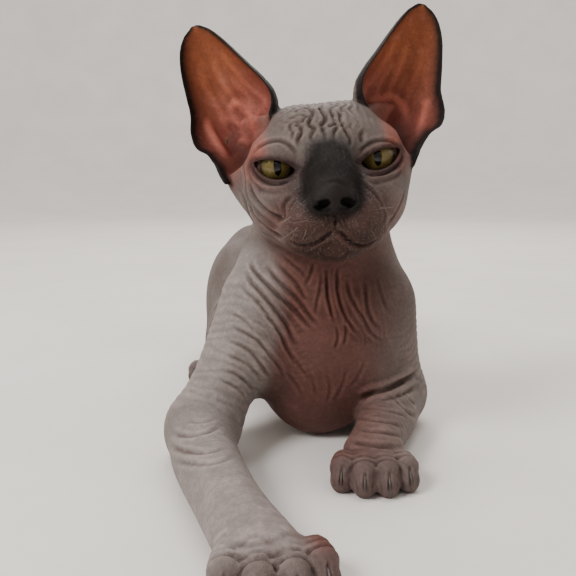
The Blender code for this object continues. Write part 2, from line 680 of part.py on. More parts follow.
def main():
    clear_scene()
    flesh = whole_flesh()
    nodes = {name: part_out(flesh, name, **plan) for name, plan in FLESH_NODES.items()}
    bpy.data.objects.remove(flesh)
    open_face(nodes["head"])
    for side, word in ((1, "left"), (-1, "right")):
        nodes["eye_" + word] = eye("eye_" + word, side)
        ear = nodes["ear_" + word] = ear_shell("ear_" + word, side)
        combine(ear, grown(nodes["head"], GAP), "DIFFERENCE")
        keep_largest(ear)
    stops = (0.0, *TAIL_CUTS, 1.0)
    for name, start, end in zip(("tail_base", "tail_middle", "tail_tip"), stops, stops[1:]):
        tail = nodes[name] = tail_piece(name, start + 0.0025 * (start > 0), end)
        combine(tail, ground(), "DIFFERENCE")
    combine(nodes["tail_base"], grown(nodes["torso"], GAP), "DIFFERENCE")
    keep_largest(nodes["tail_base"])
    for node in nodes.values():
        paint(node)
    return stand_on_origin(list(nodes.values()))


if __name__ == "__main__":
    SHIFT_M = main()
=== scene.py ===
# Sphynx cat, lying with its head up: skin, eyes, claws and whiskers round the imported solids
import bpy
import bmesh
import math
import numpy as np
from mathutils import Vector, Matrix, Euler
from mathutils.bvhtree import BVHTree
from mathutils.geometry import barycentric_transform
from mathutils.kdtree import KDTree


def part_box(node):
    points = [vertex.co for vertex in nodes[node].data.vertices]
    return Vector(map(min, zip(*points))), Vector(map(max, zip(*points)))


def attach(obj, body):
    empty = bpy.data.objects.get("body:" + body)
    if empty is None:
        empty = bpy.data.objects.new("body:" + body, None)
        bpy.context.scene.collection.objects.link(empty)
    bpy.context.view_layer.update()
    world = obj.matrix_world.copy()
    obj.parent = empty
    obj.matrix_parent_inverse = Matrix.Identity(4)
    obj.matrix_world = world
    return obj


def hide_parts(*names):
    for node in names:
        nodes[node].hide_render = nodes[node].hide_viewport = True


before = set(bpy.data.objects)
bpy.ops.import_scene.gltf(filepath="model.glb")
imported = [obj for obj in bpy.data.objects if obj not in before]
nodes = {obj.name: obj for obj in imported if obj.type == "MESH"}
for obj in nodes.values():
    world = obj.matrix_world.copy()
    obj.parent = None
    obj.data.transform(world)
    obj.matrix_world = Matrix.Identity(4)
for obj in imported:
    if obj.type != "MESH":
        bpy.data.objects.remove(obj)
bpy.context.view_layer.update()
mm = 0.001

def report(text):
    print("scene:", text)

def middleOf(name):
    low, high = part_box(name)
    return (low + high) / 2

eyeCentre = {"left": middleOf("eye_left"), "right": middleOf("eye_right")}
eyesMiddle = (eyeCentre["left"] + eyeCentre["right"]) / 2
headTurn = {"roll": -5.5, "yaw": 1.0}   # degrees
headFrame = (Matrix.Translation(eyesMiddle)
             @ Euler((0, math.radians(headTurn["roll"]), math.radians(headTurn["yaw"]))).to_matrix().to_4x4())
rowToHead = headFrame.inverted()
eyeRadius = 9.5 * mm
# a point of the design drawing in the row's frame: the drawing has the eyes at (17, 0, 137.3) mm
drawingShift = eyesMiddle - Vector((17.0, 0, 137.3)) * mm

def headPoint(x, y, z):
    return headFrame @ (Vector((x, y, z)) * mm)

def drawingPoint(x, y, z):
    return Vector((x, y, z)) * mm + drawingShift

cameraSettings = {"place": (-17.0, -315.0, -4.3), "pitch": -9.5, "lens": 43.4375, "focalPixels": 695.0}

def makeCamera():
    data = bpy.data.cameras.new("camera")
    data.lens = cameraSettings["lens"]
    data.sensor_width = 36.0
    data.clip_start, data.clip_end = 0.01, 20.0
    camera = bpy.data.objects.new("camera", data)
    camera.location = eyesMiddle + Vector(cameraSettings["place"]) * mm
    camera.rotation_euler = (math.radians(90 + cameraSettings["pitch"]), 0, 0)
    bpy.context.scene.collection.objects.link(camera)
    bpy.context.scene.camera = camera
    bpy.context.view_layer.update()
    return camera

camera = makeCamera()

def lineOfSight(px, py):   # where a pixel of the 576 frame looks
    step = cameraSettings["focalPixels"]
    ray = Vector(((px - 288) / step, -(py - 288) / step, -1.0))
    return camera.location.copy(), (camera.matrix_world.to_3x3() @ ray).normalized()

def linkObject(name, mesh):
    obj = bpy.data.objects.new(name, mesh)
    bpy.context.scene.collection.objects.link(obj)
    return obj

def objectFrom(name, bm):
    mesh = bpy.data.meshes.new(name)
    bm.to_mesh(mesh)
    bm.free()
    return linkObject(name, mesh)

def applyModifiers(obj):
    bpy.context.view_layer.update()
    graph = bpy.context.evaluated_depsgraph_get()
    mesh = bpy.data.meshes.new_from_object(obj.evaluated_get(graph), depsgraph=graph)
    obj.modifiers.clear()
    old, obj.data = obj.data, mesh
    bpy.data.meshes.remove(old)

def voxelRemesh(obj, size):
    fused = obj.modifiers.new("fuse", "REMESH")
    fused.mode = "VOXEL"
    fused.voxel_size = size
    applyModifiers(obj)

def relax(obj, rounds, factor=0.5):
    smooth = obj.modifiers.new("relax", "SMOOTH")
    smooth.factor = factor
    smooth.iterations = rounds
    applyModifiers(obj)

def cut(obj, cutter, operation="DIFFERENCE"):
    boolean = obj.modifiers.new("cut", "BOOLEAN")
    boolean.solver = "MANIFOLD"
    boolean.operation = operation
    boolean.object = cutter
    applyModifiers(obj)
    bpy.data.objects.remove(cutter)

def pointsOf(mesh, kind="co"):
    values = np.empty(len(mesh.vertices) * 3, np.float32)
    mesh.vertices.foreach_get(kind, values)
    return values.reshape(-1, 3).astype(float)

def setPoints(mesh, points):
    mesh.vertices.foreach_set("co", points.astype(np.float32).ravel())
    mesh.update()

def inFrame(matrix, points):   # row frame in metres to a local frame in millimetres
    m = np.array(matrix)
    return (points @ m[:3, :3].T + m[:3, 3]) / mm

def smoothCurve(stations, count):
    rows = np.array([tuple(s) for s in stations], float)
    padded = np.vstack([2 * rows[0] - rows[1], rows, 2 * rows[-1] - rows[-2]])
    found = []
    for k in np.linspace(0, len(rows) - 1.000001, count):
        i, t = int(k), k - int(k)
        a, b, c, d = padded[i:i + 4]
        found.append(0.5 * (2 * b + (c - a) * t + (2 * a - 5 * b + 4 * c - d) * t * t
                            + (3 * b - a - 3 * c + d) * t ** 3))
    return np.array(found)

class Clay:
    # The skin's points while they are worked: row frame in metres, head frame in millimetres.
    def __init__(self, obj):
        self.obj = obj
        self.read()

    def read(self):
        self.points = pointsOf(self.obj.data)
        self.normals = pointsOf(self.obj.data, "normal")
        self.head = inFrame(rowToHead, self.points)
        self.drawing = (self.points - np.array(drawingShift)) / mm

    def write(self):
        setPoints(self.obj.data, self.points)
        self.read()

    def push(self, height):   # along the normals, in millimetres
        self.points += self.normals * (height * mm)[:, None]
        self.write()

    def bump(self, where, radii, space="head"):   # a soft blob's weight
        local = self.head if space == "head" else self.drawing
        return np.exp(-(((local - np.array(where)) / np.array(radii)) ** 2).sum(axis=1))


def nearPath(points, path, reach):
    # Which points are near a path: their numbers, distance, share along it, and offset from the nearest point.
    path = np.asarray(path)
    low, high = path.min(axis=0) - reach, path.max(axis=0) + reach
    near = np.flatnonzero(((points > low) & (points < high)).all(axis=1))
    best = np.full(len(near), 1e9)
    share = np.zeros(len(near))
    offset = np.zeros((len(near), 3))
    along = np.zeros((len(near), 3))
    p = points[near]
    for i in range(len(path) - 1):
        a, b = path[i], path[i + 1]
        t = np.clip(((p - a) @ (b - a)) / max((b - a) @ (b - a), 1e-15), 0, 1)
        gap = p - (a + t[:, None] * (b - a))
        d = np.linalg.norm(gap, axis=1)
        better = d < best
        best[better] = d[better]
        share[better] = (i + t[better]) / (len(path) - 1)
        offset[better] = gap[better]
        along[better] = (b - a) / max(np.linalg.norm(b - a), 1e-9)
    keep = best < reach
    return near[keep], best[keep], share[keep], offset[keep], along[keep]


def crease(clay, path, width, depth, roll=0.45, taper=0.25):
    # Height of a fold along a path in metres: a valley with a soft roll of skin on either side.
    reach = width * 4.2 * mm
    near, away, share, offset, along = nearPath(clay.points, path, reach)
    height = np.zeros(len(clay.points))
    if not len(near):
        return height
    across = np.cross(along, clay.normals[near])
    side = (offset * across).sum(axis=1) / np.maximum(np.linalg.norm(across, axis=1), 1e-9) / mm
    d = away / mm / width
    ends = np.clip(np.minimum(share, 1 - share) / max(taper, 1e-6), 0, 1)
    ends = ends * ends * (3 - 2 * ends)
    valley = np.exp(-d ** 2)
    rolls = np.exp(-((d - 1.9) / 1.05) ** 2)
    height[near] = depth * ends * (roll * rolls - valley)
    return height


def pathFromPhoto(tree, pixels, count=24):
    # Pixels of the photo's frame, laid on the skin as a smooth path.
    found = []
    for px, py in smoothCurve([(*p, 0) for p in pixels], count)[:, :2]:
        start, ray = lineOfSight(px, py)
        hit = tree.ray_cast(start, ray)[0]
        if hit is not None:
            found.append(tuple(hit))
    return np.array(found)


def treeOf(obj):
    return BVHTree.FromObject(obj, bpy.context.evaluated_depsgraph_get())


def waves(points, size, seed, count=5):
    # Smooth noise from a few sine waves, between about -1 and 1. Points in millimetres.
    rng = np.random.default_rng(seed)
    total = np.zeros(len(points))
    for _ in range(count):
        direction = rng.normal(size=3)
        direction *= rng.uniform(0.7, 1.4) / np.linalg.norm(direction)
        total += np.sin(points @ direction * (2 * math.pi / size) + rng.uniform(0, 6.28))
    return total / math.sqrt(count)


def softStep(low, high, values):
    t = np.clip((values - low) / (high - low), 0, 1)
    return t * t * (3 - 2 * t)


def folds(u, sharp=0.55):
    # Rounded crests with narrow valleys, 0 to 1, one for each whole number of u.
    return np.abs(np.sin(math.pi * u)) ** sharp

# Masses in the design drawing's millimetres: centre, radii. In the head's and the pelvis's frames, one with x
# above 0 is mirrored.
headPlace = (Matrix.Translation((17.0, 0, 137.3))
             @ Euler((0, math.radians(headTurn["roll"]), math.radians(headTurn["yaw"]))).to_matrix().to_4x4())
pelvisPlace = Matrix.Translation((-3.0, 185.0, 0)) @ Matrix.Rotation(math.radians(5.4), 4, "Z")
trunkPlace = Matrix.Identity(4)

headMasses = {
    "cranium": ((0, 21, 2), (30, 31, 24)),
    "crown": ((13, 17, 8), (17, 24, 18)),
    "forehead": ((0, 4, 9), (22, 14, 15)),
    "brow": ((19, 1, 8.5), (13, 8.5, 6.5)),
    "ear root": ((32, 21, 10), (13, 13, 15)),
    "cheekbone": ((25, 9, -8), (13, 18, 15)),
    "jowl": ((20.5, 8, -20), (14.5, 19, 13)),
    "cheek": ((18, -7, -14), (12.5, 12.5, 11)),
    "muzzle root": ((0, -15, -10), (12, 13, 12)),
    "whisker pad": ((9.5, -18, -25), (12, 12, 10.5)),
    "lip edge": ((15, -12, -29), (8, 11, 7.5)),
    "nose": ((0, -28.0, -14.2), (8.8, 5.2, 4.9)),
    "nostril wing": ((6.0, -27.4, -16.8), (3.9, 4.9, 3.7)),
    "nose foot": ((0, -28.8, -19.0), (3.6, 4.3, 3.2)),
    "chin": ((0, -19, -34), (8.5, 8.5, 6.8)),

    "throat": ((0, 8, -23), (24, 25, 13)),
}
oneSidedMasses = {   # in the head's frame, where the two sides differ
    "right ear flap": ((-36.5, 13, -1.5), (9.5, 10, 10.5)),
    "left ear flap": ((31.5, 13, -2.0), (9.0, 9.5, 9.5)),
    "right cheek side": ((-32.5, 11, -10.5), (8.2, 10, 9)),
}
headSweeps = {   # stations x, y, z and three radii
    "bridge": [(0, -5, 10, 10, 8, 7), (0, -13, 3, 8.5, 7, 6.5), (0, -20, -3.5, 7.5, 6, 6),
               (0, -27, -10, 7, 5, 5)],
    "jaw": [(5, -17, -33.5, 7.5, 8, 6.5), (14, -3, -31, 9, 9, 8), (22, 14, -25, 10, 10, 10)],
}
trunkSweeps = {
    "torso": [(15, 30, 43, 27, 21, 36), (15, 46, 46, 35, 20, 44), (13, 76, 45.5, 38, 20, 46),
              (9, 115, 45, 39, 20, 46), (3, 155, 45.5, 39, 20, 46.5), (-2, 195, 46, 37, 20, 47),
              (-4.5, 222, 45, 27, 18, 37)],
    "neck": [(15, 46, 74, 40, 34, 24), (15.5, 42, 90, 37.5, 31, 20), (16.5, 38, 106, 34, 28, 20),
             (17.4, 32, 124, 27, 24, 16)],
    "right arm": [(-16, 27, 66, 18, 20, 22), (-28.5, 12, 38, 15, 17, 19), (-38, -3, 17, 15, 15, 16)],
    "right forearm": [(-40, -4, 15, 15.5, 15, 15), (-35, -36, 13.3, 14.3, 14, 13.8),
                      (-21.5, -76, 11.8, 12.8, 12, 12.3), (-9, -104, 10, 14.8, 11, 10.2)],
    "left arm": [(46, 29, 66, 18, 20, 22), (51.5, 37, 40, 16, 17, 19), (56, 43, 19, 15, 15, 17)],
    "left forearm": [(57, 42, 15, 15, 14, 15), (50, 16, 13, 13.8, 13, 13.5),
                     (41, -12, 11.8, 11.8, 12, 12.3), (38, -22, 10.5, 13.5, 10, 10)],
}
trunkMasses = {
    "right shoulder": ((-10, 46, 74), (17, 30, 27)),
    "left shoulder": ((40, 46, 74), (17, 30, 27)),
    "brisket": ((15, 24, 32), (28, 17, 30)),
    "right armpit": ((-11, 17, 42), (14, 12, 18)),
    "left armpit": ((40, 26, 38), (12, 12, 16)),
    "right elbow": ((-44, -7, 13.5), (10.5, 13, 13)),
    "left elbow": ((60.5, 49, 17), (9.5, 11, 12)),
    "rump": ((-5, 215, 50), (32, 26, 40)),
}
pelvisMasses = {
    "hip": ((20, 8, 58), (26, 40, 37)),
    "thigh": ((33, -16, 43), (23, 46, 42)),
    "knee": ((40, -58, 27), (14, 21, 25)),
}
pelvisSweeps = {
    "shank": [(42, -60, 18, 12, 13, 16), (44, -20, 16, 12, 12, 16), (43, 18, 13, 9, 10, 13)],
    "hind foot": [(45, 26, 8.5, 7.5, 9, 9), (46, -10, 7.5, 8, 9, 8), (44, -60, 7, 10, 9, 7.8)],
}
paws = {   # where the toes spread from, the heading in degrees from -Y, half the spread, and the size of a toe
    "rightFore": {"base": (-5.2, -109), "heading": 9.0, "half": 15.0, "size": 1.08},
    "leftFore": {"base": (36.6, -33), "heading": -1.0, "half": 12.9, "size": 1.02},
    "rightHind": {"base": (-48.5, 121.5), "heading": 4.0, "half": 10.5, "size": 0.86},
    "leftHind": {"base": (52.5, 131.0), "heading": 6.0, "half": 10.5, "size": 0.86},
}
eyeNodes = ["eye_left", "eye_right"]
fleshNodes = [name for name in nodes if name not in eyeNodes]
toeSide = (-1.0, -0.35, 0.35, 1.0)      # across the paw, as a share of its half width
toeReach = (-1.8, 2.8, 2.4, -2.4)
tailLine = [(-6, 236, 34, 9.5), (-7, 254, 20, 8.2), (2, 268, 9.5, 7.2), (24, 274, 6.5, 6.6),
            (50, 266, 5.8, 6.0), (70, 243, 5.1, 5.3), (78, 212, 4.4, 4.6), (78, 182, 3.8, 4.0),
            (73, 156, 3.2, 3.4)]
softness = {"nose": 0.9, "face": 2.3, "feet": 0.8, "trunk": 3.2}   # how softly the masses join
skinSettings = {"lid": 1.4, "firstVoxel": 1.3, "voxel": 0.72, "fineVoxel": 0.58, "triangles": 190000}
eyeSpread = 23.2


def blob(place, centre, radii):   # the matrix that makes an ellipsoid from a unit ball
    return place @ Matrix.Translation(Vector(centre)) @ Matrix.Diagonal(Vector((*radii, 1.0)))


def sweepBlobs(place, stations, step=3.0):
    rows = np.array(stations, float)
    length = np.linalg.norm(np.diff(rows[:, :3], axis=0), axis=1).sum()
    return [blob(place, row[:3], row[3:6]) for row in smoothCurve(stations, int(length / step) + 2)]


def flipped(row):
    return (-row[0], *row[1:])


def groupsOf(place, masses, sweeps, mirrored=True):
    groups = [[blob(place, *mass)] for mass in masses.values()]
    groups += [sweepBlobs(place, stations) for stations in sweeps.values()]
    if mirrored:
        groups += [[blob(place, flipped(at), radii)] for at, radii in masses.values() if at[0] > 0]
        groups += [sweepBlobs(place, [flipped(row) for row in rows])
                   for rows in sweeps.values() if rows[0][0] > 0]
    return groups


def pawGroups(base, heading, half, size):
    place = Matrix.Translation(Vector((*base, 0))) @ Matrix.Rotation(math.radians(heading), 4, "Z")
    groups = [[blob(place, (0, 0, 7.6 * size), (half + 2.5, 10 * size, 7.4 * size))]]
    for side, reach in zip(toeSide, toeReach):
        splay = Matrix.Rotation(math.radians(side * 6), 4, "Z")
        toe = place @ Matrix.Translation(Vector((side * half, -reach, 0))) @ splay
        groups.append([blob(toe, (0, -2, 8.6 * size), (5.0 * size, 8 * size, 5.9 * size)),
                       blob(toe, (0, -6.5, 8.8 * size), (5.0 * size, 5.6 * size, 5.6 * size)),
                       blob(toe, (0, -9.5, 5.6 * size), (4.9 * size, 5.4 * size, 5.9 * size))])
    return groups


def outside(points, shape):   # roughly how far points are outside an ellipsoid
    inverse = np.array(shape.inverted())
    unit = points @ inverse[:3, :3].T + inverse[:3, 3]
    near = np.linalg.norm(unit, axis=1)
    slope = np.linalg.norm(unit @ inverse[:3, :3], axis=1)
    return near * (near - 1) / np.maximum(slope, 1e-9)


def softnessAt(points, head):
    face = np.clip((30 - head[:, 1]) / 20, 0, 1) * np.clip((head[:, 2] + 50) / 12, 0, 1)
    soft = softness["trunk"] + (softness["face"] - softness["trunk"]) * face
    nose = np.clip((16 - np.linalg.norm(head - np.array((0, -31, -15)), axis=1)) / 8, 0, 1)
    soft += (softness["nose"] - soft) * nose
    for paw in paws.values():
        away = np.linalg.norm(points[:, :2] - np.array(paw["base"]), axis=1)
        share = np.clip((38 - away) / 18, 0, 1) * (points[:, 2] < 32)
        soft = soft + (softness["feet"] - soft) * share
    return soft


def settle(clay, groups, rounds):
    # Moves the points onto the soft union of the masses.
    for _ in range(rounds):
        points = clay.drawing
        soft = softnessAt(points, clay.head)
        total = np.zeros(len(points))
        for group in groups:
            reaches = [max(np.linalg.norm(shape.col[axis]) for axis in range(3)) + 10 for shape in group]
            middles = np.array([shape.translation for shape in group])
            low = (middles - np.array(reaches)[:, None]).min(axis=0)
            high = (middles + np.array(reaches)[:, None]).max(axis=0)
            inGroup = np.flatnonzero(((points > low) & (points < high)).all(axis=1))
            some = points[inGroup]
            least = np.full(len(some), 1e3)
            for shape, reach, middle in zip(group, reaches, middles):
                near = np.flatnonzero((np.abs(some - middle) < reach).all(axis=1))
                least[near] = np.minimum(least[near], outside(some[near], shape))
            total[inGroup] += np.exp(-np.clip(least / soft[inGroup], -30, 60))
        away = -soft * np.log(np.maximum(total, 1e-20))
        clay.push(-np.clip(away, -2.5, 2.5) * 0.9)


def allGroups():
    groups = groupsOf(headPlace, headMasses, headSweeps) + groupsOf(trunkPlace, trunkMasses, trunkSweeps, False)
    groups += groupsOf(headPlace, oneSidedMasses, {}, False)
    groups += groupsOf(pelvisPlace, pelvisMasses, pelvisSweeps)
    for paw in paws.values():
        groups += pawGroups(**paw)
    for side in (-1, 1):
        groups.append([blob(headPlace, (side * eyeSpread, 0, 0), (eyeRadius / mm + skinSettings["lid"],) * 3)])
    groups.append([blob(trunkPlace, row[:3], (row[3],) * 3) for row in smoothCurve(tailLine, 170)])
    return groups


def fusedFlesh():
    groups = allGroups()
    bm = bmesh.new()
    for group in groups:
        for shape in group:
            bmesh.ops.create_icosphere(bm, subdivisions=2, radius=1.0, matrix=shape)
    bm.transform(Matrix.Translation(drawingShift) @ Matrix.Scale(mm, 4))
    obj = objectFrom("skin", bm)
    for size, rounds in ((skinSettings["firstVoxel"], 3), (skinSettings["voxel"], 1)):
        voxelRemesh(obj, size * mm)
        settle(Clay(obj), groups, rounds)
    relax(obj, 2)
    return obj


earSettings = {"wall": 1.8, "tipWall": 1.4, "turn": 22.0, "shift": -1.2, "rings": 72, "across": 60,
               "hollow": ((45, 9, 22), (22.5, 15.5, 23.5)), "seamRounds": 40, "cornerRounds": 26,
               "tuck": {1: 4.2, -1: 0.3}}   # how far the left ear's and the right ear's lower edge lies inwards
# from the root up: front edge x, y, z, then back edge x, y, z, then depth of the cup
earStations = [(22.5, 8, 22.8, 45.0, 3, -6.0, 18.1), (20.2, 7, 29.1, 48.6, 5, 1.2, 19.0),
               (21.1, 7, 34.5, 53.5, 9, 8.4, 19.0), (23.4, 7.5, 38.5, 56.9, 13, 15.6, 18.1),
               (26.5, 8, 42.6, 57.9, 16.5, 24.6, 16.6), (30.1, 9, 46.6, 59.4, 18, 34.5, 14.2),
               (33.8, 10, 51.1, 60.5, 18.5, 43.5, 11.9), (37.6, 11.5, 55.6, 60.7, 18.5, 51.1, 9.5),
               (41.9, 13, 60.4, 59.7, 18.5, 57.5, 6.6), (45.9, 14.5, 64.0, 57.6, 18, 61.8, 3.8),
               (49.5, 16, 66.0, 54.5, 17, 64.9, 1.5), (51.3, 16.6, 66.6, 53.0, 16.8, 66.3, 0.4)]
# ridges on the inside: start and end as shares across and up, height and width in millimetres and shares
earRidges = [((0.30, 0.02), (0.42, 0.50), 1.5, 0.060), ((0.47, 0.00), (0.55, 0.62), 1.7, 0.055),
             ((0.64, 0.02), (0.66, 0.46), 1.3, 0.055), ((0.20, 0.16), (0.30, 0.66), 0.9, 0.045),
             ((0.22, 0.20), (0.74, 0.10), 1.5, 0.050), ((0.76, 0.20), (0.80, 0.60), 0.7, 0.040)]


earPlaces = []   # row point, inside or outside, millimetres from the rim, share up


def ridgeHeight(u, v):
    height = np.zeros_like(u)
    for (u0, v0), (u1, v1), high, wide in earRidges:
        length = np.array((u1 - u0, v1 - v0))
        t = np.clip(((u - u0) * length[0] + (v - v0) * length[1]) / (length @ length), 0, 1)
        wave = 0.018 * np.sin(t * 7 + u0 * 20)
        away = np.hypot(u - u0 - t * length[0] - wave, v - v0 - t * length[1])
        height += high * np.exp(-(away / wide) ** 2) * np.sin(math.pi * np.clip(0.12 + 0.88 * t, 0, 1)) ** 0.7
    return height


def earShell(side, rounded=True):
    # The thin cup of an ear between its two edges, with ridges and the little pocket at its outer edge.
    turn = math.radians(earSettings["turn"])
    behind = np.array((-math.sin(turn), math.cos(turn), 0.0))
    rings, across = earSettings["rings"], earSettings["across"]
    middle = np.zeros((rings, across, 3))
    up = np.linspace(0, 1, rings)[:, None] * np.ones((1, across))
    angle = np.linspace(0, math.pi, across)
    share = np.ones((rings, 1)) * (0.5 - 0.5 * np.cos(angle))[None, :]
    for i, row in enumerate(smoothCurve(earStations, rings)):
        edge, other, depth = row[0:3], row[3:6], max(row[6], 0.2)
        middle[i] = (edge + (other - edge) * share[i][:, None]
                     + behind * (depth * np.sin(angle) ** 0.85)[:, None])
    over = np.gradient(middle, axis=1)
    rise = np.gradient(middle, axis=0)
    normal = np.cross(over, rise)
    normal /= np.maximum(np.linalg.norm(normal, axis=2, keepdims=True), 1e-9)
    if normal[rings // 2, across // 2] @ behind < 0:
        normal = -normal
    # the pocket: the outer edge doubles outwards and dents above it
    pocket = softStep(0.185, 0.225, up) * softStep(0.41, 0.31, up) * softStep(0.80, 1.0, share)
    under = softStep(0.05, 0.14, up) * softStep(0.215, 0.18, up) * softStep(0.85, 1.0, share)
    middle += np.array((1.0, -0.5, 0.0)) * (1.5 * pocket - 1.3 * under)[..., None]
    middle[..., 0] -= earSettings["tuck"][side] * softStep(0.45, 1.0, share) * softStep(16, -4, middle[..., 2])
    edgeShare = np.clip(np.minimum(np.linspace(0, 1, across), np.linspace(1, 0, across)) * 7, 0, 1)
    wall = earSettings["wall"] * (1 - (1 - earSettings["tipWall"] / earSettings["wall"]) * up)
    span = np.linalg.norm(middle[:, :1] - middle[:, -1:], axis=2)
    toEdge = np.minimum(share, 1 - share) * span * 1.1 + 0.02
    if rounded:
        wall = wall * np.clip(1 - (1 - np.clip(toEdge / (wall / 2), 0, 1)) ** 2, 0.05, 1) ** 0.5
    inner = middle - normal * (wall * 0.5)[..., None]
    outer = middle + normal * (wall * 0.5)[..., None]
    inner -= normal * (ridgeHeight(share, up) * edgeShare[None, :])[..., None]
    sheets = []
    frameNow = np.array(headPlace)
    for local in (inner, outer):
        local[..., 0] = side * local[..., 0] + earSettings["shift"]
        flat = local.reshape(-1, 3)
        sheets.append((flat @ frameNow[:3, :3].T + frameNow[:3, 3]).reshape(local.shape))
    for sheet, inside in zip(sheets, (1.0, 0.0) if rounded else ()):
        row = sheet.reshape(-1, 3) * mm + np.array(drawingShift)
        earPlaces.extend(zip(row.tolist(), [inside] * len(row), toEdge.ravel().tolist(), up.ravel().tolist()))
    bm = bmesh.new()
    grids = [[[bm.verts.new(sheet[i, j]) for j in range(across)] for i in range(rings)] for sheet in sheets]
    for grid, order in zip(grids, (1, -1)):
        for i in range(rings - 1):
            for j in range(across - 1):
                bm.faces.new([grid[i][j], grid[i][j + 1], grid[i + 1][j + 1], grid[i + 1][j]][::order])
    bm.edges.ensure_lookup_table()
    border = [e for e in bm.edges if e.is_boundary]
    bmesh.ops.bridge_loops(bm, edges=border)
    bmesh.ops.recalc_face_normals(bm, faces=bm.faces)
    bm.transform(Matrix.Translation(drawingShift) @ Matrix.Scale(mm, 4))
    return objectFrom("ear", bm)


def eggIn(place, centre, radii, detail=4):   # a cutter, in a frame of the drawing
    bm = bmesh.new()
    bmesh.ops.create_icosphere(bm, subdivisions=detail, radius=1.0, matrix=blob(place, centre, radii))
    bm.transform(Matrix.Translation(drawingShift) @ Matrix.Scale(mm, 4))
    return objectFrom("egg", bm)


def softenWhere(obj, weights, rounds, factor=0.5):   # smooths only where a weight is given
    group = obj.vertex_groups.new(name="soften")
    steps = 20
    level = np.round(np.clip(weights, 0, 1) * steps).astype(int)
    for k in range(1, steps + 1):
        chosen = np.flatnonzero(level == k)
        if len(chosen):
            group.add(chosen.tolist(), k / steps, "REPLACE")
    smooth = obj.modifiers.new("soften", "SMOOTH")
    smooth.factor, smooth.iterations, smooth.vertex_group = factor, rounds, "soften"
    applyModifiers(obj)
    obj.vertex_groups.clear()


def earWeights(head):   # 1 on the free part of the ears
    side = np.abs(head[:, 0])
    return softStep(24, 30, side + 0.35 * head[:, 2] - 6) * softStep(2, 10, head[:, 2] + 0.4 * (side - 45))


def addEars(obj):
    at, radii = earSettings["hollow"]
    for side in (1, -1):
        cut(obj, eggIn(headPlace, (side * at[0], *at[1:]), radii))
    for side in (1, -1):
        cut(obj, earShell(side, rounded=False), "UNION")
    voxelRemesh(obj, skinSettings["fineVoxel"] * mm)
    head = Clay(obj).head
    side = np.abs(head[:, 0])
    rootZone = np.exp(-(((side - 36) / 18) ** 2 + ((head[:, 1] - 12) / 16) ** 2
                        + ((head[:, 2] - 16) / 17) ** 2) ** 2)
    softenWhere(obj, rootZone, earSettings["seamRounds"])
    head = Clay(obj).head
    side = np.abs(head[:, 0])
    corner = np.exp(-(((side - 43) / 8) ** 2 + ((head[:, 1] - 6) / 10) ** 2 + ((head[:, 2] + 5) / 8) ** 2) ** 2)
    softenWhere(obj, corner, earSettings["cornerRounds"])
    relax(obj, 2)


def smoothEars(obj):   # lays the free part of the ears back on their smooth shells
    clay = Clay(obj)
    free = earWeights(clay.head)
    points = clay.points.copy()
    for i in np.flatnonzero(free > 0.02):
        found = [tree.find_nearest(points[i], 1.8 * mm) for tree in earTrees]
        found = [hit for hit in found if hit[0] is not None]
        if found:
            spot, _, _, away = min(found, key=lambda hit: hit[3])
            share = free[i] * min(1.0, max(0.0, (1.7 - away / mm) / 0.7))
            points[i] += share * (np.array(spot) - points[i])
    setPoints(obj.data, points)
    softenWhere(obj, free, 7)


def shellTree(side):
    shell = earShell(side)
    tree = treeOf(shell)
    bpy.data.objects.remove(shell)
    return tree


earTrees = [shellTree(side) for side in (1, -1)]
skin = fusedFlesh()
report(f"flesh settled, {len(skin.data.vertices)} points")
addEars(skin)
report(f"ears joined, {len(skin.data.vertices)} points")

openingSettings = {"width": 18.4, "upper": 2.7, "lower": 5.2, "tilt": 15.5, "socket": 9.75, "steps": 40,
                   "nostril": (5.3, -32.0, -17.3), "nostrilRadii": (3.5, 3.8, 2.05), "nostrilTurn": 24.0,
                   "voxel": 0.55}


def almondCutter(side):
    # A flaring plug with the outline of the eye's opening, hooded above and round below.
    s = openingSettings
    half, tilt = s["width"] / 2, math.radians(s["tilt"]) * side
    outline = []
    for k in range(s["steps"] * 2):
        t = -1 + k / s["steps"] * 2 if k < s["steps"] else 3 - k / s["steps"] * 2
        if k < s["steps"]:
            z = s["upper"] * (1 - t * t) ** 0.75
        else:
            z = -s["lower"] * (1 - abs(t) ** 2.3) ** 0.75
        outline.append((half * t, z))
    bm = bmesh.new()
    rings = []
    for y, size in ((-1.0, 0.92), (-18.0, 1.10)):
        ring = []
        for x, z in outline:
            x, z = x * size, z * size
            ring.append(bm.verts.new((x * math.cos(tilt) - z * math.sin(tilt), y,
                                      x * math.sin(tilt) + z * math.cos(tilt))))
        rings.append(ring)
        bm.faces.new(ring)
    bmesh.ops.bridge_loops(bm, edges=[e for e in bm.edges])
    bmesh.ops.recalc_face_normals(bm, faces=bm.faces)
    bm.transform(headPlace @ Matrix.Translation(Vector((side * eyeSpread, 0, 0))))
    bm.transform(Matrix.Translation(drawingShift) @ Matrix.Scale(mm, 4))
    return objectFrom("almond", bm)


def openFace(obj):
    s = openingSettings
    for side in (1, -1):
        cut(obj, eggIn(headPlace, (side * eyeSpread, 0, 0), (s["socket"],) * 3, 5))
        cut(obj, almondCutter(side))
        x, y, z = s["nostril"]
        place = (headPlace @ Matrix.Translation((side * x, y, z))
                 @ Matrix.Rotation(math.radians(s["nostrilTurn"] * side), 4, "Y"))
        cut(obj, eggIn(place, (0, 0, 0), s["nostrilRadii"]))
    voxelRemesh(obj, s["voxel"] * mm)


def restOnFloor(obj):   # what presses on the floor is flat there
    points = pointsOf(obj.data)
    points[:, 2] = np.maximum(points[:, 2], 0.0)
    setPoints(obj.data, points)


openFace(skin)
softenWhere(skin, earWeights(Clay(skin).head), 4)
smoothEars(skin)
restOnFloor(skin)
report(f"eyes and nostrils opened, {len(skin.data.vertices)} points")

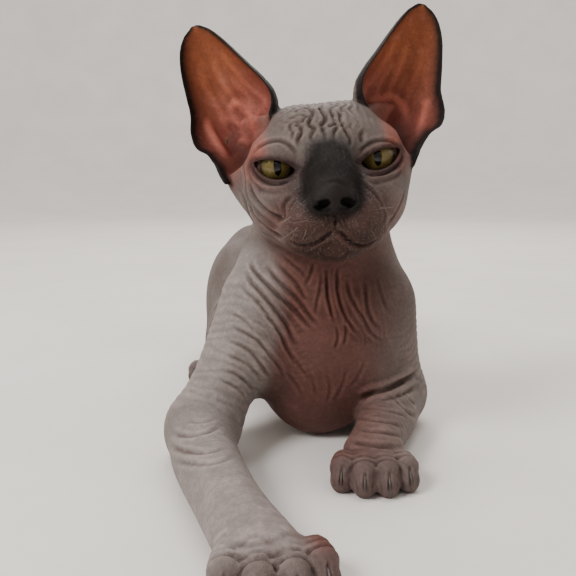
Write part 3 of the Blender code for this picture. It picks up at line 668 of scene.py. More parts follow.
photoFolds = {   # width and depth in millimetres, roll beside it, then pixels of the photo's frame
    "right ear ridge 1": (2.2, -1.5, 0.2, [(204.0, 117.0), (212.0, 134.0), (221.5, 149.0), (230.0, 160.0)]),
    "right ear ridge 2": (2.0, -1.3, 0.2,
                          [(226.0, 109.0), (238.0, 104.0), (248.0, 109.0), (254.0, 121.0), (252.0, 136.0)]),
    "right ear canal": (4.6, 1.1, 0.0, [(236.0, 120.0), (232.0, 132.0), (234.0, 145.0), (243.0, 152.0)]),
    "right ear ridge 3": (1.8, -1.2, 0.2, [(238.0, 138.0), (245.0, 143.0), (254.0, 145.0)]),
    "left ear ridge 1": (2.2, -1.4, 0.2, [(428.0, 96.0), (425.0, 112.0), (421.0, 126.0), (417.0, 140.0)]),
    "left ear ridge 2": (2.0, -1.3, 0.2,
                         [(372.0, 108.0), (380.0, 99.0), (391.0, 97.0), (402.0, 106.0), (406.0, 120.0)]),
    "left ear canal": (4.6, 1.1, 0.0, [(388.0, 112.0), (396.0, 122.0), (401.0, 134.0), (402.0, 144.0)]),
    "right lid crease": (0.9, 0.8, 0.5, [(252.3, 156.8), (258.9, 147.3), (272.1, 141.4), (283.9, 142.1),
        (294.2, 150.2), (299.3, 161.2)]),
    "right lower bag": (0.75, 0.9, 0.7, [(251.3, 161.2), (253.8, 172.2), (262.6, 181.5), (274.3, 184.7),
        (285.3, 182.9), (293.4, 177.4)]),
    "right second bag": (0.9, 0.45, 0.5, [(247.9, 165.6), (250.9, 178.8), (260.4, 189.1), (273.6, 192.8),
        (286.8, 190.6)]),
    "left lid crease": (0.9, 0.8, 0.5, [(358.7, 156.8), (363.8, 148), (376.3, 141.1), (391, 141.4),
        (399, 148)]),
    "left lower bag": (0.75, 0.9, 0.7, [(360.2, 170.8), (370.4, 175.2), (385.1, 173.7), (395.4, 167.8),
        (401.5, 159.8), (401.2, 150.9)]),
    "left second bag": (0.9, 0.4, 0.5, [(366, 183.2), (379.2, 182.5), (393.9, 177.4), (404.2, 167.8)]),
    "furrow 1": (0.85, 1, 0.5, [(299.7, 149.5), (298.3, 139.9), (301.8, 131.9), (298.8, 124.5),
        (305.9, 118.7), (302.2, 112.1)]),
    "furrow 2": (0.7, 0.6, 0.5, [(291.2, 142.9), (293, 134.1), (289.8, 126.7), (297.8, 121.6), (307.4, 117.5)]),
    "furrow 3": (0.8, 0.95, 0.5, [(312.5, 146.5), (310.6, 137.7), (313.5, 130.4), (309.1, 123.1),
        (312.9, 115.7), (308.5, 108.4), (309.6, 104)]),
    "furrow 4": (0.85, 1.1, 0.5, [(324.2, 144.3), (324.7, 134.8), (321.7, 126.7), (325.3, 118.7),
        (321, 111.3), (322.8, 104)]),
    "furrow 5": (0.8, 0.9, 0.5, [(336.7, 144.3), (334.2, 134.1), (337.1, 126), (333.2, 118.7),
        (331.1, 111.3), (333, 104)]),
    "furrow 6": (0.9, 1.1, 0.5, [(347.3, 149.5), (350.2, 140.7), (346.7, 133.3), (341.8, 124.5),
        (339.6, 117.2), (341.8, 108.4)]),
    "furrow 7": (0.9, 0.7, 0.5, [(363.1, 145.1), (360.9, 136.3), (363.8, 128.9)]),
    "crown 1": (0.6, 0.55, 0.5, [(283.9, 122.3), (292.7, 117.9), (303, 115.7), (311.8, 120.1), (319.1, 116.5)]),
    "crown 2": (0.6, 0.5, 0.5, [(286.8, 115), (297.1, 111.3), (305.9, 109.1), (314.7, 112.1), (322, 108.4),
        (330.8, 110.6)]),
    "crown 3": (0.6, 0.45, 0.5, [(316.2, 126.7), (323.5, 123.8), (330.8, 126.7), (338.2, 123.1)]),
    "crown 4": (0.6, 0.45, 0.5, [(305.2, 128.9), (310.3, 126.7), (317.6, 130.4)]),
    "crown 5": (0.6, 0.4, 0.5, [(326.4, 104), (336.7, 106.2), (345.5, 111.3), (351.4, 118.7)]),
    "right cheek hollow": (1.3, 1.3, 0.6, [(249, 177.4), (252.3, 192), (260.4, 204.5), (271.4, 214),
        (280.7, 218.1), (283.9, 212.6)]),
    "right jaw fold": (1.1, 1.1, 0.7, [(247.9, 200.8), (256, 217), (267.7, 227.2), (278, 234.6),
        (285.3, 239.7)]),
    "right far jaw": (1, 0.6, 0.5, [(238.4, 184.7), (245, 200.8), (250.1, 215.5), (258.9, 228.7),
        (272.1, 238.2)]),
    "right cheek line": (0.8, 0.5, 0.5, [(242.8, 161.2), (244.6, 174.4), (246.5, 189.1), (248.7, 199.4)]),
    "right pad edge": (0.9, 0.75, 0.6, [(294.4, 195), (287.1, 200.8), (283.9, 208.2), (285.1, 216.2),
        (282.1, 223.6)]),
    "right pad second": (0.7, 0.35, 0.5, [(299.3, 198.6), (293, 203.8), (289.8, 211.1)]),
    "left cheek fold": (0.9, 1, 0.6, [(360.9, 181.8), (370.4, 189.8), (378.5, 199.4), (382.5, 207.4)]),
    "left cheek second": (0.7, 0.55, 0.5, [(355.8, 190.6), (364.6, 197.9), (371.9, 207.4)]),
    "left pad edge": (0.8, 0.6, 0.5, [(382.5, 207.4), (385.1, 215.5), (382.2, 224.3)]),
    "left jaw fold": (1.1, 0.8, 0.5, [(405.6, 186.2), (401.2, 200.8), (393.9, 215.5), (385.1, 228.7)]),
    "philtrum": (0.6, 0.9, 0.5, [(334.5, 212.6), (335.2, 221.4), (335.2, 230.2)]),
    "right lip": (0.85, 1.5, 0.45, [(335.2, 230.2), (327.9, 235.3), (317.6, 241.6), (305.9, 245.1),
        (295.6, 243.7), (289, 239.3)]),
    "left lip": (0.85, 1.5, 0.45, [(335.2, 230.2), (342.6, 234.6), (349.9, 241.6), (360.2, 245.6),
        (370.4, 242.6), (378.5, 237.8)]),
    "chin fold": (1.1, 0.8, 0.5, [(314.7, 250.7), (326.4, 257.3), (341.1, 257.3), (352.8, 250.7)]),
    "right chin side": (0.9, 0.6, 0.5, [(317.6, 241.9), (319.1, 250.7), (326.4, 257.3)]),
    "left chin side": (0.9, 0.6, 0.5, [(347.7, 241.9), (349.2, 249.2), (344, 257.3)]),
    "right nose wing": (0.6, 0.8, 0.5, [(312.9, 195.7), (313.2, 203), (317.9, 208.9), (327.2, 211.1),
        (333, 207.4)]),
    "left nose wing": (0.6, 0.8, 0.5, [(353.6, 192), (355.5, 200.1), (350.2, 207.4), (341.8, 209.6),
        (336.7, 206.7)]),
    "nose top": (0.8, 0.35, 0.2, [(314.1, 196.4), (317.9, 189.1), (325, 183.5), (335.2, 182),
        (345.5, 185.9), (352.5, 192.8)]),
    "neck 1": (1.3, 1.5, 0.7, [(250.5, 256.5), (253, 268.1), (262.9, 279.7), (277.8, 294.7), (292.8, 307.9),
        (306, 322.8), (317.6, 332.8)]),
    "neck 2": (1.3, 1.3, 0.7, [(244.7, 269.8), (251.3, 281.4), (264.6, 296.3), (277.8, 312.9),
        (286.1, 324.5), (292.8, 337.8), (299.4, 347.7)]),
    "neck 3": (1.3, 1.4, 0.7, [(262.9, 259.8), (274.5, 276.4), (287.8, 289.7), (299.4, 301.3), (311, 317.9),
        (321, 327.8)]),
    "neck 4": (1.2, 1, 0.6, [(238, 281.4), (246.3, 291.3), (257.9, 301.3), (269.6, 317.9), (279.5, 332.8),
        (289.5, 351), (296.1, 366)]),
    "neck 5": (1.2, 1.1, 0.6, [(272.9, 258.2), (286.1, 273.1), (296.1, 283), (302.7, 294.7), (307.7, 302.9)]),
    "neck 6": (1.1, 0.8, 0.6, [(279.5, 253.2), (292.8, 264.8), (302.7, 273.1), (307.7, 281.4)]),
    "shoulder 1": (1.2, 0.9, 0.6, [(228.1, 322.8), (241.4, 331.1), (256.3, 339.4), (269.6, 354.4),
        (279.5, 367.6), (286.1, 384.2)]),
    "shoulder 2": (1.2, 0.9, 0.6, [(221.5, 337.8), (238, 344.4), (251.3, 352.7), (262.9, 367.6),
        (272.9, 384.2)]),
    "shoulder 3": (1.1, 0.8, 0.6, [(224.8, 354.4), (238, 359.3), (251.3, 367.6), (262.9, 382.5)]),
    "shoulder 4": (1.1, 0.75, 0.6, [(223.1, 369.3), (236.4, 374.3), (248, 384.2), (254.6, 392.5)]),
    "shoulder 5": (1, 0.7, 0.6, [(219.8, 379.2), (231.4, 384.2), (241.4, 392.5), (246.3, 400.8)]),
    "shoulder 6": (1, 0.6, 0.6, [(229.8, 311.2), (243, 319.5), (254.6, 327.8)]),
    "cord 1": (1, 1.5, 0.9, [(325.9, 264.8), (326.3, 279.7), (327.6, 296.3), (330.9, 311.2), (334.6, 324.5)]),
    "cord 2": (1, 1.6, 0.8, [(337.9, 263.1), (336.7, 279.7), (338.4, 296.3), (344.2, 314.6), (352.5, 327.8),
        (360.8, 337.8)]),
    "cord 3": (1, 0.9, 0.7, [(312.7, 261.5), (311, 273.1), (304.7, 286.4)]),
    "cord 4": (1.1, 1.1, 0.7, [(347.5, 273.1), (347.5, 288), (352.5, 301.3), (362.4, 317.9), (372.4, 334.5),
        (385.6, 342.7)]),
    "cord 5": (1.1, 1, 0.7, [(363.7, 276.4), (365.7, 294.7), (367.4, 307.9), (372.4, 321.2), (383.2, 332.8)]),
    "cord 6": (1, 0.8, 0.6, [(321.3, 266.5), (321, 283), (317.6, 299.6), (314.3, 317.9)]),
    "cord 7": (0.9, 0.8, 0.5, [(335.9, 324.5), (337.9, 337.8), (334.2, 351)]),
    "cord 8": (0.9, 0.8, 0.5, [(344.2, 317.9), (346.3, 332.8), (343.3, 347.7)]),
    "cord 9": (1, 0.6, 0.5, [(375.7, 271.4), (379, 288), (384, 302.9), (393.9, 317.9)]),
    "chest 1": (1.1, 0.6, 0.5, [(286.1, 370.9), (296.1, 384.2), (302.7, 397.5)]),
    "chest 2": (1.1, 0.55, 0.5, [(304.4, 362.6), (312.7, 380.9), (316, 397.5)]),
    "chest 3": (1.1, 0.5, 0.5, [(325.9, 370.9), (330.1, 389.2), (325.9, 404.1)]),
    "chest 4": (1.1, 0.5, 0.5, [(347.5, 366), (342.5, 384.2), (334.2, 400.8)]),
    "chest 5": (1.1, 0.6, 0.5, [(281.2, 339.4), (292.8, 357.7), (306, 374.3), (311, 384.2)]),
    "chest 6": (1.1, 0.45, 0.5, [(365.7, 357.7), (359.1, 374.3), (347.5, 390.8)]),
    "chest 7": (1, 0.5, 0.5, [(272.9, 317.9), (282.8, 337.8), (287.8, 356)]),
    "left armpit": (1.6, 1.7, 0.9, [(418.8, 370.9), (403.1, 380.9), (385.6, 390.8), (370.7, 395),
        (357.4, 400.8)]),
    "left armpit 2": (1.2, 0.8, 0.6, [(418.8, 384.2), (405.5, 392.5), (393.9, 397.5), (379, 400.8)]),
    "left wrist 1": (1, 0.8, 0.5, [(346, 439.9), (362.7, 444.5), (383, 446.3), (399.7, 446.9)]),
    "left wrist 2": (1, 0.7, 0.5, [(350.7, 427.8), (368.2, 431), (388.6, 433.4), (403.4, 437.1)]),
    "left wrist 3": (1, 0.6, 0.5, [(353.4, 417.7), (371.9, 419.9), (390.4, 423.2), (406.1, 427.3)]),
    "left wrist 4": (1, 0.6, 0.5, [(359, 408.4), (375.6, 408.8), (394.1, 412.5), (408.9, 416.8)]),
    "left elbow 1": (1.1, 1, 0.5, [(390.4, 395.5), (399.7, 404.7), (408.9, 413.1), (416.3, 415.8)]),
    "left elbow 2": (1.1, 0.9, 0.5, [(401.5, 389.9), (408.9, 399.2), (416.3, 404.7)]),
    "right elbow 1": (1.1, 0.7, 0.5, [(169.4, 431.5), (185.1, 436.2), (205.5, 433.4), (224, 424.2)]),
    "right elbow 2": (1.1, 0.7, 0.5, [(167.6, 443.6), (183.3, 451), (207.3, 452.8), (229.5, 446.3)]),
    "right elbow 3": (1, 0.5, 0.5, [(187, 421.4), (201.8, 422.3), (218.4, 417.7)]),
    "right elbow 4": (1, 0.5, 0.5, [(170.3, 458.4), (190.7, 463.9), (216.6, 463), (236, 454.7)]),
    "right wrist 1": (1, 0.7, 0.5, [(220.3, 552.7), (238.8, 558.2), (261, 559.2), (283.2, 554.5),
        (303.5, 547.1)]),
    "right wrist 2": (0.9, 0.4, 0.5, [(214.7, 541.6), (238.8, 545.3), (264.7, 543.4), (290.6, 534.2)]),
}
# the sides that the photo hides: stations x, y, z in the drawing, laid on the nearest skin
hiddenFolds = {
    "nape 1": (1.8, 1.3, 0.7, [(-12, 48, 112), (2, 62, 118), (18, 66, 120), (34, 62, 119), (46, 48, 112)]),
    "nape 2": (1.8, 1.4, 0.7, [(-17, 50, 103), (0, 68, 108), (17, 73, 110), (34, 69, 109), (50, 50, 104)]),
    "nape 3": (1.8, 1.2, 0.7, [(-20, 58, 93), (-4, 76, 98), (15, 84, 99), (33, 78, 98), (52, 58, 94)]),
    "nape 4": (1.7, 0.9, 0.6, [(-14, 84, 88), (4, 94, 91), (22, 94, 91), (38, 84, 88)]),
    "right flank 1": (1.8, 1.3, 0.7, [(-22, 66, 82), (-27, 62, 64), (-28, 60, 46), (-24, 58, 28)]),
    "right flank 2": (1.8, 1.2, 0.7, [(-25, 76, 76), (-29, 72, 58), (-29, 69, 40), (-24, 66, 22)]),
    "right flank 3": (1.8, 1.0, 0.6, [(-25, 88, 70), (-30, 84, 52), (-29, 80, 34)]),
    "right flank 4": (1.8, 0.8, 0.6, [(-26, 100, 62), (-31, 97, 46), (-29, 92, 30)]),
    "left flank 1": (1.8, 1.3, 0.7, [(51, 66, 82), (54, 64, 64), (54, 62, 48), (50, 62, 30)]),
    "left flank 2": (1.8, 1.2, 0.7, [(49, 78, 76), (54, 75, 58), (53, 72, 40), (48, 70, 24)]),
    "left flank 3": (1.8, 1.0, 0.6, [(48, 90, 70), (52, 87, 52), (51, 84, 34)]),
    "left flank 4": (1.8, 0.8, 0.6, [(47, 103, 62), (51, 100, 46), (49, 96, 30)]),
    "right groin 1": (1.8, 1.2, 0.7, [(-36, 118, 66), (-38, 124, 50), (-44, 122, 34), (-50, 118, 24)]),
    "right groin 2": (1.8, 1.0, 0.6, [(-33, 108, 60), (-34, 112, 46), (-36, 112, 30)]),
    "left groin 1": (1.8, 1.2, 0.7, [(44, 122, 66), (45, 128, 50), (50, 128, 34), (56, 124, 24)]),
    "left groin 2": (1.8, 1.0, 0.6, [(45, 112, 60), (45, 116, 46), (46, 116, 30)]),
    "right hock 1": (1.3, 0.9, 0.6, [(-52, 200, 30), (-50, 212, 26), (-42, 222, 22)]),
    "right hock 2": (1.3, 0.8, 0.6, [(-54, 190, 24), (-54, 204, 19), (-48, 216, 15)]),
    "left hock 1": (1.3, 0.9, 0.6, [(47, 206, 30), (44, 218, 26), (36, 226, 22)]),
    "left hock 2": (1.3, 0.8, 0.6, [(50, 196, 24), (48, 210, 19), (42, 220, 15)]),
    "right rump 1": (1.8, 0.8, 0.6, [(-20, 232, 70), (-26, 236, 56), (-26, 238, 42)]),
    "left rump 1": (1.8, 0.8, 0.6, [(12, 236, 70), (18, 240, 56), (18, 242, 42)]),
    "tail root 1": (1.4, 1.0, 0.7, [(-20, 240, 48), (-6, 246, 50), (10, 242, 48)]),
    "tail root 2": (1.3, 0.9, 0.7, [(-16, 248, 38), (-6, 253, 38), (6, 250, 38)]),
    "right stifle 1": (1.5, 0.8, 0.6, [(-56, 132, 44), (-60, 142, 30), (-58, 152, 18)]),
    "left stifle 1": (1.5, 0.8, 0.6, [(56, 140, 44), (60, 150, 30), (58, 160, 18)]),
    "right back arm 1": (1.5, 0.9, 0.6, [(-28, 44, 70), (-34, 34, 52), (-42, 22, 36), (-52, 8, 24)]),
    "right back arm 2": (1.5, 0.8, 0.6, [(-24, 56, 62), (-32, 46, 44), (-42, 32, 28), (-50, 18, 16)]),
    "left back arm 1": (1.5, 0.9, 0.6, [(56, 52, 70), (60, 50, 54), (64, 52, 40), (67, 56, 28)]),
    "left back arm 2": (1.5, 0.8, 0.6, [(54, 60, 60), (58, 60, 44), (62, 62, 30), (64, 64, 18)]),
}
foldSettings = {"deepest": -2.3, "highest": 1.2, "bodyWidth": 0.78, "bodyDepth": 0.72,
                "bodyFolds": ("neck", "cord", "chest", "shoulder"), "chinFolds": 0.4, "hiddenDepth": 0.6}


def pathOnSkin(tree, stations, count=26):
    found = []
    for place in smoothCurve(stations, count):
        found.append(tuple(tree.find_nearest(drawingPoint(*place))[0]))
    return np.array(found)


def toePlaces():   # every toe's frame in the drawing, and its paw's size
    for paw in paws.values():
        place = (Matrix.Translation(Vector((*paw["base"], 0)))
                 @ Matrix.Rotation(math.radians(paw["heading"]), 4, "Z"))
        for side, reach in zip(toeSide, toeReach):
            yield (place @ Matrix.Translation(Vector((side * paw["half"], -reach, 0)))
                   @ Matrix.Rotation(math.radians(side * 6), 4, "Z")), paw["size"]


toeCreases = [   # width, depth, roll and stations on one toe
    (0.8, 0.95, 0.6, [(-5.2, -5.0, 5.0), (-3.4, -5.8, 11.5), (0, -6.0, 14.2), (3.4, -5.8, 11.5),
                      (5.2, -5.0, 5.0)]),
    (0.7, 0.45, 0.5, [(-4.6, -1.6, 9.5), (-2.0, -2.0, 14.0), (2.0, -2.0, 14.0), (4.6, -1.6, 9.5)]),
    (0.9, 0.35, 0.4, [(-4.4, 5.2, 9.0), (0, 4.6, 14.0), (4.4, 5.2, 9.0)]),
    (0.55, 0.85, 0.5, [(0.4, -10.0, 12.0), (0, -13.2, 10.2), (-0.2, -14.8, 7.0), (0.1, -15.0, 4.6)]),
    (0.45, 0.4, 0.3, [(-3.8, -11.6, 9.0), (-3.2, -13.8, 5.8), (-3.6, -13.6, 3.0)]),
    (0.45, 0.4, 0.3, [(3.8, -11.6, 9.0), (3.2, -13.8, 5.8), (3.6, -13.6, 3.0)])]


def toeFolds():
    found = []
    for place, size in toePlaces():
        for width, depth, roll, stations in toeCreases:
            found.append((width, depth, roll,
                          [tuple(place @ Vector((x * size, y if y > -9 else -9.5 + (y + 9.5) * size, z * size)))
                           for x, y, z in stations]))
    return found


def pressFolds(clay):
    # All the named folds at once, so that crossings don't dig twice.
    tree = treeOf(clay.obj)
    height = np.zeros(len(clay.points))
    for name, (width, depth, roll, pixels) in photoFolds.items():
        if name.startswith(foldSettings["bodyFolds"]):
            width, depth = width * foldSettings["bodyWidth"], depth * foldSettings["bodyDepth"]
        if "chin" in name:
            depth *= foldSettings["chinFolds"]
        path = pathFromPhoto(tree, pixels)
        if len(path) > 3:
            height += crease(clay, path, width, depth, roll)
    for width, depth, roll, stations in toeFolds():
        height += crease(clay, pathOnSkin(tree, stations, 14), width, depth, roll)
    for width, depth, roll, stations in hiddenFolds.values():
        height += crease(clay, pathOnSkin(tree, stations), width, depth * foldSettings["hiddenDepth"], roll)
    return np.clip(height, foldSettings["deepest"], foldSettings["highest"])


def fineWrinkles(clay):
    # Small folds all over: a net on the crown, bands on the neck and round the limbs, cross lines elsewhere.
    head, body = clay.head, clay.drawing
    height = np.zeros(len(body))
    # crown and forehead: wavy upright lines crossed by shorter ones
    crown = (np.exp(-((head[:, 0] / 20) ** 4)) * softStep(9, 16, head[:, 2]) * softStep(44, 30, head[:, 1])
             * softStep(0.0, 0.4, clay.normals[:, 2] - 0.55 * clay.normals[:, 1]))
    warp = 1.5 * waves(head, 13, 3)
    lines = (folds((head[:, 0] + warp) / 3.3, 0.6) * 0.6
             + folds((head[:, 1] - head[:, 2] + 2 * warp + 0.8 * head[:, 0]) / 4.1, 0.7) * 0.5)
    height += crown * 0.95 * (lines - 0.6)
    # front of the chest and the neck's sides: slanting down and inwards on the right, upright on the left
    chest = (softStep(60, 40, body[:, 1]) * softStep(26, 44, body[:, 2]) * softStep(118, 108, body[:, 2])
             * softStep(-0.05, -0.35, clay.normals[:, 1]) * softStep(40, 30, np.abs(body[:, 0] - 15)))
    lean = 0.30 + 0.75 * softStep(30, 0, body[:, 0])
    u = (body[:, 0] + lean * body[:, 2] + 2.0 * waves(body, 26, 31) + 0.7 * waves(body, 9, 32)) / 3.1
    height += chest * 0.30 * (folds(u, 0.75) - 0.6) * softStep(-1.0, 0.2, waves(body, 30, 33))
    # limbs: rings round the forelegs
    for start, end, spacing, reach, depth in ((( -16, 30, 72), (-38, -3, 17), 4.6, 24, 0.34),
                                             ((-40, -4, 15), (-9, -104, 10), 5.2, 19, 0.13),
                                             ((46, 29, 66), (56, 43, 19), 4.4, 22, 0.40),
                                             ((57, 42, 15), (38, -22, 10), 4.4, 17, 0.32)):
        a, b = np.array(start, float), np.array(end, float)
        axis = (b - a) / np.linalg.norm(b - a)
        t = (body - a) @ axis
        away = np.linalg.norm(body - a - t[:, None] * axis, axis=1)
        mask = (softStep(reach, reach - 6, away) * softStep(-6, 4, t)
                * softStep(np.linalg.norm(b - a) + 8, np.linalg.norm(b - a) - 4, t))
        ring = folds((t + 1.3 * waves(body, 21, 5) + 0.6 * waves(body, 9, 6)) / spacing, 0.7)
        height += mask * depth * (ring - 0.65)
    # trunk: soft wrinkles running down from the spine, denser to the front
    trunk = (softStep(20, 45, body[:, 1]) * softStep(248, 225, body[:, 1]) * softStep(8, 20, body[:, 2])
             * softStep(136, 118, body[:, 2]))
    front = softStep(130, 60, body[:, 1])
    along = (body[:, 1] + 0.25 * body[:, 2] + 5.5 * waves(body, 60, 7) + 1.6 * waves(body, 17, 8)) / 6.4
    height += (trunk * (0.10 + 0.34 * front) * (folds(along, 0.75) - 0.6)
               * softStep(-0.9, 0.4, waves(body, 45, 9)))
    # everywhere: a fine cross net
    net = (folds((body[:, 0] + body[:, 2] + 1.2 * waves(body, 8, 10)) / 2.6, 0.8)
           + folds((body[:, 1] - body[:, 2] + 1.2 * waves(body, 8, 11)) / 2.9, 0.8))
    cells = (folds((body[:, 0] - body[:, 2] + waves(body, 5, 12)) / 1.5, 0.8)
             + folds((body[:, 1] + body[:, 2] + waves(body, 5, 13)) / 1.6, 0.8))
    return height + 0.06 * (net - 1.3) + 0.035 * (cells - 1.3)


clay = Clay(skin)
foldHeight = pressFolds(clay)
clay.push(foldHeight)
fineHeight = fineWrinkles(clay)
clay.push(fineHeight)
restOnFloor(skin)
report("folds pressed")

thinSettings = {"weightFactor": 0.0016, "face": 1.0, "front": 0.55, "rest": 0.12}


def careWeights(clay):
    # How closely the mesh keeps its detail: most on the face, then the neck, chest, ears and forelegs.
    head, body = clay.head, clay.drawing
    face = np.exp(-((head[:, 0] / 37) ** 4 + ((head[:, 1] + 4) / 32) ** 4 + ((head[:, 2] + 4) / 32) ** 4))
    front = softStep(70, 30, body[:, 1]) * softStep(-2, 6, body[:, 2]) * softStep(230, 215, body[:, 2])
    care = thinSettings["rest"] + (thinSettings["front"] - thinSettings["rest"]) * front
    return care + (thinSettings["face"] - care) * face


def thinOut(obj, triangles):
    count = sum(len(p.vertices) - 2 for p in obj.data.polygons)
    group = obj.vertex_groups.new(name="keep")
    level = np.round(careWeights(Clay(obj)) * 20).astype(int)
    for k in range(21):
        chosen = np.flatnonzero(level == k)
        if len(chosen):
            group.add(chosen.tolist(), k / 20, "REPLACE")
    obj.data.transform(Matrix.Scale(1 / mm, 4))   # in millimetres, where the weights and the shape count alike
    thin = obj.modifiers.new("thin", "DECIMATE")
    thin.ratio = triangles / count
    thin.vertex_group = "keep"
    thin.vertex_group_factor = thinSettings["weightFactor"]
    thin.invert_vertex_group = True
    applyModifiers(obj)
    obj.data.transform(Matrix.Scale(mm, 4))
    obj.vertex_groups.clear()
    return sum(len(p.vertices) - 2 for p in obj.data.polygons)


def finishMesh(obj):
    mesh = obj.data
    mesh.polygons.foreach_set("use_smooth", [True] * len(mesh.polygons))
    mesh.update()


def cavity(mesh):
    # How far each point lies below its neighbours' mean, in millimetres: more in a fold.
    ends = np.empty(len(mesh.edges) * 2, np.int32)
    mesh.edges.foreach_get("vertices", ends)
    ends = ends.reshape(-1, 2)
    points, normals = pointsOf(mesh), pointsOf(mesh, "normal")
    count = len(points)
    total = np.zeros((count, 3))
    degree = np.bincount(ends.ravel(), minlength=count)
    for a, b in ((0, 1), (1, 0)):
        for axis in range(3):
            total[:, axis] += np.bincount(ends[:, a], weights=points[ends[:, b], axis], minlength=count)
    hollow = ((total / np.maximum(degree, 1)[:, None] - points) * normals).sum(axis=1) / mm
    for _ in range(2):
        near = np.bincount(ends[:, 0], weights=hollow[ends[:, 1]], minlength=count)
        near += np.bincount(ends[:, 1], weights=hollow[ends[:, 0]], minlength=count)
        hollow = 0.5 * hollow + 0.5 * near / np.maximum(degree, 1)
    return hollow


def mark(mesh, name, values):
    layer = mesh.attributes.new(name, "FLOAT", "POINT")
    layer.data.foreach_set("value", np.clip(values, 0, 1).astype(np.float32))


def nearestValues(fromPoints, values, points):
    tree = KDTree(len(fromPoints))
    for i, p in enumerate(fromPoints):
        tree.insert(p, i)
    tree.balance()
    return np.array([values[tree.find(p)[1]] for p in points])


def ellipse(local, where, radii, power=2):
    return np.exp(-(np.abs((local - np.array(where)) / np.array(radii)) ** power).sum(axis=1))


def eyeOffsets(head, side):   # across and up from an eye's middle, along its own slant
    tilt = math.radians(openingSettings["tilt"]) * side
    x, z = head[:, 0] - side * eyeSpread, head[:, 2]
    return x * math.cos(tilt) + z * math.sin(tilt), -x * math.sin(tilt) + z * math.cos(tilt)


